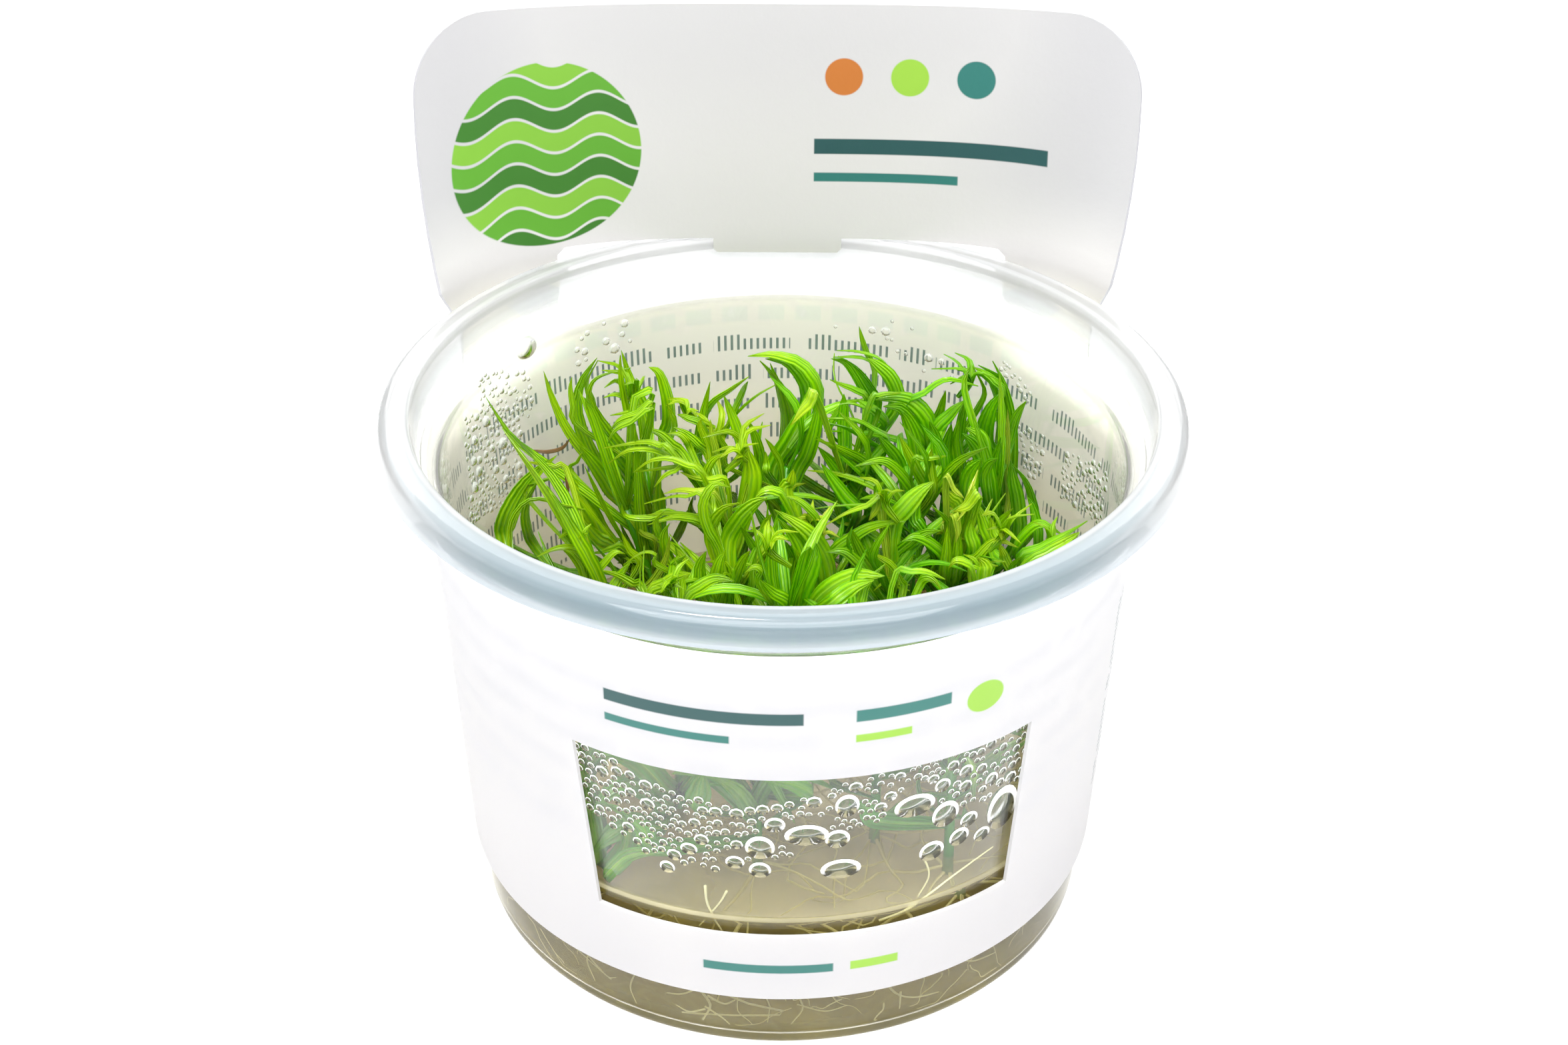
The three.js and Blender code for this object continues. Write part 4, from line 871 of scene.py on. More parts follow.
def leaf_material(settings):
    """Fresh leaf with lengthwise veins, darker at its base and yellow-green at its tip, with painted shade low
    down and in random patches, and yellower, partly painted light, on the left.
    """
    s = Shader("leaf")
    across, along = s.uv()
    tint = s.attribute("tint")
    age = s.attribute("age")
    mottle = s.noise(700.0, 3.0)
    streaks = s.noise(260.0, 2.0)
    young, deep = settings.young, settings.deep
    body = s.mix(along.ramp(0.05, 0.6) * 0.8 + 0.2 * streaks, deep, settings.fresh)
    tips = (along.ramp(0.3, 1.0) * 0.5 + 0.5 * tint) * tint.least(1.0)
    green = s.mix(tips * (0.6 + 0.8 * streaks).least(1.0), body, young)
    green = s.mix(tint.ramp(0.9, 1.25) * 0.8, green, (0.95, 0.99, 0.10))
    x, _, z = s.place()
    # Painted shade: leaves low in the cup are darker.
    low = z.ramp(54.0, 32.0) * 0.8
    # Yellower and lighter on the left: partly the plants' own colour, partly painted light.
    green = s.mix(x.ramp(12.0, -22.0) * 0.65, green, (0.66, 0.95, 0.004))
    green = s.mix(x.ramp(-6.0, 22.0) * 0.4 * (1 - tint * 0.7), green, (0.06, 0.36, 0.002))
    green = s.mix(low, green, (0.02, 0.15, 0.001))
    veins = (across * 26.0 + streaks * 3.0).sin()
    midrib = abs(across - 0.5).ramp(0.12, 0.02)
    green = s.mix(midrib * 0.5 * along.ramp(1.0, 0.4), green, (0.58, 0.84, 0.08))
    green = s.mix(veins.ramp(-0.2, 0.9) * (0.78 - 0.4 * tint.least(1.0)), green, deep)
    # Painted shade: darker patches at random, less on the yellow leaves.
    shaded = s.noise(110.0, 1.0).ramp(0.5, 0.66) * (1 - tint.least(1.0) * 0.7)
    green = s.mix(shaded * 0.5, green, (0.02, 0.17, 0.001))
    green = s.mix((mottle - 0.45).most(0.0) * tint, green, young)
    brown = s.mix(age, green, (0.30, 0.15, 0.05))
    relief = s.bump(veins * 0.6 + midrib * -0.9, 0.00016, 0.9)
    blade = s.principled(
        base_color=brown, roughness=0.08 + 0.16 * mottle, normal=relief, specular_ior_level=0.7,
    )
    glow = s.blend(tips * 0.8, s.glow((0.30, 0.84, 0.002)), s.glow((0.72, 0.96, 0.008)))
    # Painted shade: the light through the leaves is darker low down as well.
    glow = s.blend(low, glow, s.glow((0.03, 0.22, 0.001)))
    return s.finish(s.blend(0.32 * (1 - age * 0.8), blade, glow))


def root_material():
    s = Shader("root")
    shade = s.mix(s.noise(160.0, 3.0), (0.58, 0.55, 0.22), (0.80, 0.76, 0.46))
    fibres = s.bump(s.noise(1500.0), 0.0001, 0.4)
    return s.finish(s.principled(
        base_color=shade, roughness=0.5, normal=fibres, subsurface_weight=0.2, subsurface_radius=(1.0, 0.9, 0.5),
        subsurface_scale=0.0008,
    ))


def floor_material(settings):
    s = Shader("floor")
    grain = s.noise(300.0)
    shade = s.mix(grain * 0.1, settings.floor, (0.9, 0.9, 0.9))
    return s.finish(s.principled(base_color=shade, roughness=0.8, specular_ior_level=0.2))


# Shapes


def rounded(points):
    """A profile with its corners rounded. Each point is (radius, height, size of its rounding)."""
    line = []
    for k, (r, z, size) in enumerate(points):
        here = Vector((r, z))
        if size == 0 or k in (0, len(points) - 1):
            line.append(here)
            continue
        before, after = Vector(points[k - 1][:2]), Vector(points[k + 1][:2])
        start = here + (before - here).normalized() * size
        end = here + (after - here).normalized() * size
        for j in range(5):
            t = j / 4
            line.append(start * (1 - t) ** 2 + here * 2 * t * (1 - t) + end * t * t)
    full = [line[0]]
    for a, b in zip(line, line[1:]):
        gap = (b - a).length
        if gap > 2.5:
            full += [a.lerp(b, 0.35 / gap), b.lerp(a, 0.35 / gap)]
        full.append(b)
    return full


def spun(profile, steps):
    """A closed turned shape from a profile that starts and ends on the axis."""
    bm = bmesh.new()
    verts = [bm.verts.new((p.x, 0.0, p.y)) for p in profile]
    edges = [bm.edges.new(pair) for pair in zip(verts, verts[1:])]
    bmesh.ops.spin(
        bm, geom=verts + edges, cent=(0, 0, 0), axis=(0, 0, 1), angle=math.tau, steps=steps, use_merge=True,
        use_duplicate=False,
    )
    bmesh.ops.remove_doubles(bm, verts=bm.verts, dist=1e-4)
    bmesh.ops.recalc_face_normals(bm, faces=bm.faces)
    return bm


def as_mesh(bm, name):
    mesh = bpy.data.meshes.new(name)
    bm.to_mesh(mesh)
    bm.free()
    return mesh


def show(name, data):
    """Puts a new object in the scene."""
    item = bpy.data.objects.new(name, data)
    bpy.context.scene.collection.objects.link(item)
    return item


def set_chart(bm, place):
    """Gives each corner of each face the UV that place works out."""
    chart = bm.loops.layers.uv.new("UVMap")
    for face in bm.faces:
        for loop in face.loops:
            loop[chart].uv = place(face, loop.vert.co)


def paste(bm, template):
    """Adds a copy of a template and returns its points."""
    first = len(bm.verts)
    bm.from_mesh(template)
    bm.verts.ensure_lookup_table()
    return bm.verts[first:]


def keep_rims_sharp(bm):
    """Stops the shading from running over edges where the surface turns by more than 40 degrees."""
    for edge in bm.edges:
        if edge.is_manifold:
            edge.smooth = edge.calc_face_angle() < SHARP_TURN


def finish_piece(name, bm, materials, nodes=(), clear=False):
    """Turns millimetres into metres, puts the piece in the scene under the root body and hides the model parts
    that it stands in for. A clear piece casts no shadow.
    """
    bmesh.ops.scale(bm, vec=(MM, MM, MM), verts=bm.verts)
    for face in bm.faces:
        face.smooth = True
    mesh = as_mesh(bm, name)
    for material in materials:
        mesh.materials.append(material)
    piece = show(name, mesh)
    piece.visible_shadow = not clear
    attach(piece, "root")
    if nodes:
        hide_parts(*nodes)


def cup_mesh(settings):
    """The cup in one turned profile: base, wall, ledge, collar and rim, then back down the inside."""
    rim = settings.rim_radius / MM
    top = settings.height / MM
    skirt = top - SKIRT_DROP
    profile = rounded([
        (0, 0, 0), (outer_wall(0) - 0.25, 0, 1.1), (outer_wall(LEDGE_HEIGHT), LEDGE_HEIGHT, 0.6),
        (rim - 4.9, LEDGE_HEIGHT + 1.3, 0.6), (rim - 3.7, top - 1.25, 0.5), (rim - 1.7, top - 1.2, 0.5),
        (rim - 1.1, skirt, 0.12), (rim, skirt, 0.2), (rim - 0.65, top - 0.6, 0.4), (rim - 1.6, top, 0.45),
        (rim - 4.35, top, 0.35), (rim - 5.5, LEDGE_HEIGHT + 2.1, 0.6),
        (inner_wall(LEDGE_HEIGHT), LEDGE_HEIGHT + 0.55, 0.5), (inner_wall(FLOOR), FLOOR, 1.4), (0, FLOOR, 0),
    ])
    return spun(profile, settings.steps)


def gel_mesh(settings):
    """A disc of gel that wets the wall: its edge creeps up a little, and its surface is slightly uneven."""
    top = settings.top / MM
    low = FLOOR - GEL_SUNK
    edge = inner_wall(top) + GEL_SUNK
    profile = [Vector(p) for p in (
        (0, low), (20, low), (FLOOR_RADIUS - 0.2, low), (inner_wall(2) + 0.1, 1.6), (inner_wall(3) + GEL_SUNK, 3),
        (edge - 0.3, top - 6), (edge, top - 0.3), (edge, top + 0.75), (edge - 0.45, top + 0.6),
        (edge - 0.9, top + 0.15), (edge - 1.7, top), (edge - 4, top - 0.05),
    )]
    profile += [Vector((edge * k / 9, top)) for k in range(7, -1, -1)]
    bm = spun(profile, GEL_STEPS)
    for vert in bm.verts:
        radius = math.hypot(vert.co.x, vert.co.y)
        if vert.co.z > top - 0.2 and radius < edge - 1.5:
            vert.co.z += 0.35 * noise.noise(vert.co * 0.12) - 0.1
    return bm


def sheet_point(angle, z):
    """Middle surface of the card at an angle from the back and a height."""
    cone = outer_wall(min(z, SLEEVE_TOP)) + CLEARANCE + CARD / 2
    turn = abs(math.degrees(angle))
    rise = max((z - SLOT_TOP) / (HEADER_TOP - SLOT_TOP), 0)
    strip = smoothstep(turn, *STRIP_TURN)
    settle = clamp((z - SLEEVE_TOP) / SETTLE_HEIGHT)
    around = lerp(strip, 1, settle) * (1 - smoothstep(turn, *FADE_TURN))
    flare = smoothstep(z, FLARE_START, FLARE_END) * around
    power = 2 / lerp(2, PLAN_POWER, flare)
    half_width = lerp(cone, lerp(*PLAN_HALF_WIDTH, rise), flare)
    depth = lerp(cone, lerp(*PLAN_DEPTH, rise), flare)
    sine, cosine = math.sin(angle), math.cos(angle)
    x = half_width * math.copysign(abs(sine) ** power, sine)
    y = depth * math.copysign(abs(cosine) ** power, cosine)
    return Vector((x, y, z))


def arc(centre, radius, start, end, steps):
    """Points on a circle in the XZ plane, between two angles in degrees."""
    angles = [math.radians(lerp(start, end, k / steps)) for k in range(steps + 1)]
    return [(centre[0] + radius * math.cos(a), centre[1] + radius * math.sin(a)) for a in angles]


def bent_edge(start, control, end, steps):
    """Points on a curve that leaves its start, and meets its end, in line with the control point."""
    line = []
    for k in range(steps + 1):
        t = k / steps
        line.append(tuple(
            a * (1 - t) ** 2 + b * 2 * t * (1 - t) + c * t * t for a, b, c in zip(start, control, end)
        ))
    return line


def header_outline():
    """The header as seen from the front: it widens upwards and has round corners."""
    foot = SLEEVE_TOP - 1.8
    shoulder = HEADER_TOP - HEADER_CORNER
    bend = lerp(foot, shoulder, 0.52)
    left, right = HEADER_CENTRE - HEADER_HALF, HEADER_CENTRE + HEADER_HALF
    foot_left, foot_right = HEADER_CENTRE - HEADER_FOOT_HALF, HEADER_CENTRE + HEADER_FOOT_HALF
    return [
        *bent_edge((foot_right, foot), (right, bend), (right, shoulder), 8),
        *arc((right - HEADER_CORNER, shoulder), HEADER_CORNER, 0, 90, 10)[1:],
        *arc((left + HEADER_CORNER, shoulder), HEADER_CORNER, 90, 180, 10),
        *bent_edge((left, shoulder), (left, bend), (foot_left, foot), 8)[1:],
    ]


def slot_outline():
    """The slot that the rim pokes through, with the tab that hangs into it."""
    low, tab = SLOT_TOP - TAB_DROP, 0.6
    return [
        (SLOT_LEFT, SLEEVE_TOP - 0.001), (SLOT_RIGHT, SLEEVE_TOP - 0.001), (SLOT_RIGHT, SLOT_TOP - 1),
        (SLOT_RIGHT - 1, SLOT_TOP), (TAB_RIGHT, SLOT_TOP), (TAB_RIGHT, low + tab), (TAB_RIGHT - tab, low),
        (TAB_LEFT + tab, low), (TAB_LEFT, low + tab), (TAB_LEFT, SLOT_TOP), (SLOT_LEFT + 1, SLOT_TOP),
        (SLOT_LEFT, SLOT_TOP - 1),
    ]


def window_outline():
    return [
        (WINDOW_BOTTOM_EDGE[0], WINDOW_BOTTOM), (WINDOW_BOTTOM_EDGE[1], WINDOW_BOTTOM),
        (WINDOW_TOP_EDGE[1], WINDOW_TOP), (WINDOW_TOP_EDGE[0], WINDOW_TOP),
    ]


def inside(point, outline):
    """Whether a point lies in a polygon."""
    x, z = point
    odd = False
    for (ax, az), (bx, bz) in zip(outline, outline[1:] + outline[:1]):
        if (az > z) != (bz > z) and x < (bx - ax) * (z - az) / (bz - az) + ax:
            odd = not odd
    return odd


def near_edge(face, a, b):
    """Whether a face comes close to the box round one edge of an outline in the XZ plane."""
    for axis, (p, q) in zip((0, 2), zip(a, b)):
        places = [v.co[axis] for v in face.verts]
        if max(places) <= min(p, q) - 0.3 or min(places) >= max(p, q) + 0.3:
            return False
    return True


def cut_along(bm, outline, region):
    """Cuts the faces of a region along each edge of an outline in the XZ plane."""
    for a, b in zip(outline, outline[1:] + outline[:1]):
        faces = [f for f in bm.faces if region(f.calc_center_median()) and near_edge(f, a, b)]
        parts = [*faces, *(e for f in faces for e in f.edges), *(v for f in faces for v in f.verts)]
        once_each = list(dict.fromkeys(parts))
        bmesh.ops.bisect_plane(
            bm, geom=once_each, dist=1e-4, plane_co=(a[0], 0, a[1]), plane_no=(b[1] - a[1], 0, a[0] - b[0])
        )


def outward_share(face):
    """How far a face looks away from the cup's axis."""
    centre = face.calc_center_median()
    return face.normal.dot(Vector((*centre.xy, 0)).normalized())


def card_mesh(thickness):
    """The sleeve and header as one card, with its window, slot and outline cut."""
    levels = [SLEEVE_BOTTOM, 16, 24, 32, 40, 48, 54]
    levels += [FLARE_START + 0.86 * k for k in range(5)] + [SLEEVE_TOP]
    levels += [63.6, 64.4, 65.2, 66, 66.8, 67.6, 68.4, 69.4, 70.5, SLOT_TOP]
    levels += [lerp(SLOT_TOP, HEADER_TOP + 1, k / 14) for k in range(1, 15)]
    bm = bmesh.new()
    bmesh.ops.create_grid(bm, x_segments=CARD_STEPS, y_segments=len(levels) - 1, size=1.0)
    for vert in bm.verts:
        angle = vert.co.x * math.pi
        level = (vert.co.y + 1) / 2 * (len(levels) - 1)
        vert.co = Vector((angle, 0, levels[round(level)]))
    set_chart(bm, lambda face, co: (math.degrees(co.x) * SLEEVE_MM_PER_DEGREE, co.z))
    for vert in bm.verts:
        vert.co = sheet_point(vert.co.x, vert.co.z)
    bmesh.ops.remove_doubles(bm, verts=bm.verts, dist=1e-3)
    high = [f for f in bm.faces if f.calc_center_median().z > SLEEVE_TOP and f.calc_center_median().y < 5]
    bmesh.ops.delete(bm, geom=high, context="FACES")

    def behind(c):
        return c.y > 5 and c.z > SLEEVE_TOP

    def before(c):
        return c.y < -20

    for outline, region, keep_inside in (
        (header_outline(), behind, True), (slot_outline(), behind, False), (window_outline(), before, False),
    ):
        cut_along(bm, outline, region)
        gone = []
        for face in bm.faces:
            centre = face.calc_center_median()
            if region(centre) and inside((centre.x, centre.z), outline) != keep_inside:
                gone.append(face)
        bmesh.ops.delete(bm, geom=gone, context="FACES")
    bmesh.ops.remove_doubles(bm, verts=bm.verts, dist=0.04)
    bmesh.ops.recalc_face_normals(bm, faces=bm.faces)
    if sum(outward_share(face) for face in bm.faces) < 0:
        bmesh.ops.reverse_faces(bm, faces=bm.faces)
    bm.normal_update()
    for vert in bm.verts:
        vert.co += vert.normal * thickness / 2
    bmesh.ops.solidify(bm, geom=bm.faces[:], thickness=thickness)
    bmesh.ops.recalc_face_normals(bm, faces=bm.faces)
    for vert in bm.verts:
        vert.co.z = min(vert.co.z, HEADER_TOP)
    for face in bm.faces:
        face.material_index = int(outward_share(face) < -0.5)
    keep_rims_sharp(bm)
    return bm


def axis_at(shoot, z):
    """Middle line of a shoot: straight from its foot in the gel to its top."""
    foot, top = shoot[0], shoot[1]
    t = clamp((z - GEL_TOP) / (top[2] - GEL_TOP), 0, 1.1)
    return Vector((lerp(foot[0], top[0], t), lerp(foot[1], top[1], t)))


def along_stem(shoot, z):
    return Vector((*axis_at(shoot, z), z))


def stem_top(shoot):
    return lerp(GEL_TOP, shoot[1][2], STEM_SHARE)


def heading_to(turn):
    """The level direction at an angle from +X."""
    return Vector((math.cos(turn), math.sin(turn), 0))


def across_from(out):
    """The level direction at right angles to the one in which a leaf grows."""
    return Vector((-out.y, out.x, 0))


def hold_in_radius(point, limit):
    """Moves a point straight in to the limit where it's further from the cup's axis."""
    radius = math.hypot(point.x, point.y)
    if radius > limit:
        point.x *= limit / radius
        point.y *= limit / radius


def hold_in_height(point, reach, gap):
    """Keeps a point over the gel and under the highest level of its zone."""
    highest = FRONT_TIP_LIMIT if point.y < FRONT_ZONE else TIP_LIMIT
    point.z = clamp(point.z, GEL_TOP + reach, highest - gap)


def keep_clear(point, shoot, reach):
    """Moves a leaf's point clear of the neighbouring shoots, the cup's wall and the gel."""
    for _ in range(4):
        own = axis_at(shoot, point.z)
        for other in SHOOTS:
            if other is shoot:
                continue
            away = axis_at(other, point.z) - own
            distance = away.length
            away.normalize()
            over = (point.xy - own).dot(away) - distance / 2 + reach
            if over > 0:
                point.x -= away.x * over
                point.y -= away.y * over
        hold_in_radius(point, inner_wall(point.z) - reach)
        hold_in_height(point, reach, 0.4)
    return point


def leaf_path(shoot, index, leaf):
    """Middle line of one leaf. The lower leaves spread wide, and the upper ones stand up."""
    foot, top, size, width, spread, lean = shoot
    height = leaf / (CAD_LEAVES - 1)
    z = lerp(GEL_TOP, top[2], lerp(0.1, 0.6, height))
    out = heading_to(leaf * GOLDEN_ANGLE + index * 1.9 + scatter(index, leaf) * 0.8)
    rise = Vector((top[0] - foot[0], top[1] - foot[1], top[2] - GEL_TOP)).normalized()
    sweep = Vector((*lean, 0))
    long = size * lerp(0.72, 1, min(height, 1)) * lerp(0.9, 1.08, scatter(index, leaf + 40))
    open_base = math.radians(spread[0] * lerp(2.2, 1, height))
    open_tip = math.radians(spread[1] * lerp(1.5, 1, height) * lerp(0.7, 1.3, scatter(index, leaf + 80)))
    point = along_stem(shoot, z)
    path = [point.copy()]
    for k in range(1, LEAF_STEPS + 1):
        t = k / LEAF_STEPS
        opening = lerp(open_base, open_tip, t)
        direction = (rise * math.cos(opening) + out * math.sin(opening) + sweep * (t * t * 1.5)).normalized()
        point += direction * (long / LEAF_STEPS)
        path.append(keep_clear(point.copy(), shoot, width / 2 + 0.35))
    return path, out


def keep_in_cup(point, reach):
    """Moves a point of a curled leaf inside the wall and over the gel."""
    hold_in_height(point, reach, 0.5)
    hold_in_radius(point, inner_wall(point.z) - reach)
    return point


def curled_path(shoot, index, seed):
    """Middle line of a leaf that arches over and bends to one side."""
    _, top, size, width, *_ = shoot
    height = scatter(index, seed + 301)
    z = lerp(GEL_TOP + 4, lerp(GEL_TOP, top[2], 0.72), height ** 0.6)
    out = heading_to(math.tau * scatter(index, seed + 302))
    side = across_from(out)
    rise = Vector((0, 0, 1))
    point = along_stem(shoot, z)
    path = [point.copy()]
    opening = math.radians(lerp(12, 55, scatter(index, seed + 303)))
    arch = math.radians(lerp(15, 120, scatter(index, seed + 304) ** 1.3))
    bend = lerp(-0.9, 0.9, scatter(index, seed + 305))
    long = size * lerp(0.6, 0.95, scatter(index, seed + 306))
    for k in range(1, 5):
        t = k / 4
        angle = opening + arch * t
        direction = (rise * math.cos(angle) + out * math.sin(angle) + side * bend * t).normalized()
        point += direction * (long / 4)
        path.append(keep_in_cup(point.copy(), width / 2 + 0.3))
    return path, out


def smooth_path(points, steps):
    """Points on a smooth curve through a few points, with the direction at each."""
    count = len(points) - 1
    ends = [points[0] * 2 - points[1], *points, points[-1] * 2 - points[-2]]
    line = []
    for k in range(steps + 1):
        place = k / steps * count
        part = min(int(place), count - 1)
        t = place - part
        a, b, c, d = ends[part:part + 4]
        at = 0.5 * (2 * b + (c - a) * t + (2 * a - 5 * b + 4 * c - d) * t * t + (3 * b - a - 3 * c + d) * t ** 3)
        slope = 0.5 * ((c - a) + (4 * a - 10 * b + 8 * c - 2 * d) * t + (9 * b - 3 * a - 9 * c + 3 * d) * t * t)
        line.append((at, slope.normalized()))
    return line


def blade_template(rows):
    """A thin flat blade: x across from -1 to 1, y along from 0 to 1, z through from 0 to -1."""
    bm = bmesh.new()
    bmesh.ops.create_grid(bm, x_segments=2, y_segments=rows, size=1.0)
    for vert in bm.verts:
        vert.co.y = (vert.co.y + 1) / 2
    set_chart(bm, lambda face, co: (co.x * 0.5 + 0.5, co.y))
    bmesh.ops.solidify(bm, geom=bm.faces[:], thickness=1.0)
    keep_rims_sharp(bm)
    return as_mesh(bm, "blade_template"), rows


def blade_width(t):
    """Width along a leaf: slim at the stem, widest before the middle, drawn out to a point."""
    return 1.24 * (0.4 + 2.2 * t) * max(1 - t, 0) ** 0.9


def add_blade(bm, blade, leaf, thickness):
    """Bends a copy of a blade along a leaf's path. The leaf is what the functions for leaves yield."""
    template, rows = blade
    path, side, width, twist, fold, tint, age = leaf
    tint_layer, age_layer = bm.verts.layers.float["tint"], bm.verts.layers.float["age"]
    frames = []
    for k, (at, ahead) in enumerate(smooth_path(path, rows)):
        side = (side - ahead * side.dot(ahead)).normalized()
        turn = Matrix.Rotation(twist * (k / rows - 0.5), 3, ahead)
        level = turn @ side
        frames.append((at, level, level.cross(ahead)))
    for vert in paste(bm, template):
        t = clamp(vert.co.y)
        at, level, up = frames[round(t * rows)]
        half = max(width / 2 * blade_width(t), 0.03)
        s = clamp(vert.co.x, -1, 1)
        through = clamp(vert.co.z, -1, 0) * thickness * (1 - 0.6 * abs(s)) * (1 - 0.6 * t)
        vert.co = at + level * (s * half) + up * (fold * half * s * s + through)
        vert[tint_layer] = tint
        vert[age_layer] = age


def tube_template(sides, rows):
    """An upright tube of unit radius and height, with rows of faces along it."""
    bm = bmesh.new()
    bmesh.ops.create_cone(bm, cap_ends=True, segments=sides, radius1=1, radius2=1, depth=1)
    upright = [e for e in bm.edges if abs(e.verts[0].co.z - e.verts[1].co.z) > 0.5]
    bmesh.ops.subdivide_edges(bm, edges=upright, cuts=rows - 1, use_grid_fill=True)
    return as_mesh(bm, "tube_template"), rows


def add_tube(bm, tube, points, radius, taper):
    """Bends a copy of a unit tube along a path, thinner towards its end."""
    template, rows = tube
    line = smooth_path(points, rows)
    side = Vector((1, 0, 0)) if abs(line[0][1].x) < 0.8 else Vector((0, 1, 0))
    frames = []
    for at, ahead in line:
        side = (side - ahead * side.dot(ahead)).normalized()
        frames.append((at, side, ahead.cross(side)))
    for vert in paste(bm, template):
        t = clamp(vert.co.z + 0.5)
        at, level, up = frames[round(t * rows)]
        size = radius * lerp(1, taper, t)
        vert.co = at + level * (vert.co.x * size) + up * (vert.co.y * size)


def scattered_leaves(settings, shoot, index):
    """The plain leaves of a shoot: path, direction across, width, twist, fold, tint and age of each."""
    for k in range(FEWER_LEAVES.get(index + 1, settings.leaves)):
        extra = k >= CAD_LEAVES
        if extra and k % 3:
            path, out = curled_path(shoot, index, k)
        else:
            path, out = leaf_path(shoot, index, (k * 0.37) % (CAD_LEAVES - 1) if extra else k)
        narrow, broad = (0.36, 0.75) if extra else (0.55, 0.9)
        yield (
            path, across_from(out), shoot[3] * lerp(narrow, broad, scatter(index, k + 13.5)),
            (scatter(index, k + 7.5) - 0.5) * 2.6, lerp(-0.1, 0.6, scatter(index, k + 17.5)),
            clamp(scatter(index, k + 11.5) * 0.85), 0.0,
        )


def placed_leaves(shoot, index):
    """The leaves of a shoot that stand out, in the same form. Each faces the camera's side."""
    for k, (owner, width, tint, near, far, flat) in enumerate(PLACED_LEAVES):
        if owner != index + 1:
            continue
        places = list(zip(flat[::2], flat[1::2]))
        steps = len(places) - 1
        path = [Vector((x, lerp(near, far, j / steps), z)) for j, (x, z) in enumerate(places)]
        if tint >= 0:
            path.insert(0, along_stem(shoot, clamp(path[0].z - 6, GEL_TOP + 2, stem_top(shoot))))
        path = path[:1] + [keep_in_cup(p, 0.9) for p in path[1:]]
        view = (path[-1] - CAMERA_PLACE).normalized()
        across = (path[-1] - path[1]).cross(view).normalized()
        twist, fold = (scatter(k, 5) - 0.5) * 1.6, lerp(0.1, 0.6, scatter(k, 9))
        yield path, across, width, twist, fold, max(tint, 0.0), float(tint < 0)


def tip_leaves(shoot, index):
    """The small leaves in the clusters of a shoot, in the same form."""
    for n, (owner, x, y, z, size, leaves, tint) in enumerate(TIP_CLUSTERS):
        if owner != index + 1:
            continue
        for k in range(leaves):
            out = heading_to(n * 2.4 + math.tau * 0.8 * (k + 1.4 * scatter(n, k + 400)) / leaves)
            rise = Vector((0, 0, lerp(0.1, 1.1, scatter(n, k + 410))))
            long = size * lerp(0.35, 1.35, scatter(n, k + 420))
            heart = Vector((x, y, z - 0.4 * size))
            side = across_from(out) * lerp(-0.7, 0.7, scatter(n, k + 450))
            bend = heart + (out * 0.3 + rise * 0.55 + Vector((0, 0, 0.3))) * long
            tip = bend + (out * 0.5 + side + (rise - Vector((0, 0, 0.5))) * 0.6) * long
            path = [keep_in_cup(p, 0.7) for p in (along_stem(shoot, heart.z - 2), heart, bend, tip)]
            width, twist = lerp(0.7, 1.2, scatter(n, k + 430)), (scatter(n, k + 440) - 0.5) * 1.5
            yield path, across_from(out), width, twist, 0.4, tint, 0.0


def shoot_mesh(settings, shoot, index, plain, fine, tube):
    """One shoot: its stem, plain leaves, placed leaves and the clusters at its tip."""
    bm = bmesh.new()
    for layer in ("tint", "age"):
        bm.verts.layers.float.new(layer)
    bm.loops.layers.uv.new("UVMap")
    thickness = settings.thickness / MM
    high = stem_top(shoot)
    heights = [GEL_TOP - ROOT_DEPTH, GEL_TOP, lerp(GEL_TOP, high, 0.5), high]
    add_tube(bm, tube, [along_stem(shoot, z) for z in heights], STEM_RADIUS * 0.85, 0.7)
    for leaf in scattered_leaves(settings, shoot, index):
        add_blade(bm, plain, leaf, thickness)
    for leaf in placed_leaves(shoot, index):
        add_blade(bm, fine, leaf, thickness)
    for leaf in tip_leaves(shoot, index):
        add_blade(bm, plain, leaf, thickness * 0.8)
    bmesh.ops.remove_doubles(bm, verts=bm.verts, dist=0.02)
    bmesh.ops.recalc_face_normals(bm, faces=bm.faces)
    return bm


def on_wall(turn, out, z):
    """A point at a turn from the front, a distance from the cup's axis and a height."""
    return Vector((math.sin(turn) * out, -math.cos(turn) * out, z))


def stem_roots(count):
    """Roots that run out from each stem and down to the floor: points and radius of each."""
    for index, (foot, *_) in enumerate(SHOOTS):
        for k in range(count):
            heading = math.tau * (k / count + scatter(index, k + 200) * 0.2)
            reach = lerp(7, 26, scatter(index, k + 210))
            start = Vector((*foot, GEL_TOP - lerp(1.5, 4.5, scatter(index, k + 220))))
            points = [start]
            drop = lerp(3, 14, scatter(index, k + 230))
            for step in range(1, 6):
                t = step / 5
                bend = heading + (scatter(index * 7 + k, step) - 0.5) * 0.9 * t
                x = start.x + math.cos(bend) * reach * t
                y = start.y + math.sin(bend) * reach * t
                z = start.z - drop * t ** 0.8 + (scatter(k * 3 + index, step + 9) - 0.5) * 1.2
                z = clamp(z, 2.0, GEL_TOP - 0.4)
                limit = inner_wall(z) - 0.5
                radius = math.hypot(x, y)
                if radius > limit:
                    turned = math.atan2(y, x) + (radius - limit) * 0.05
                    x, y = limit * math.cos(turned), limit * math.sin(turned)
                points.append(Vector((x, y, z)))
            yield points, lerp(0.12, 0.3, scatter(index, k + 240))


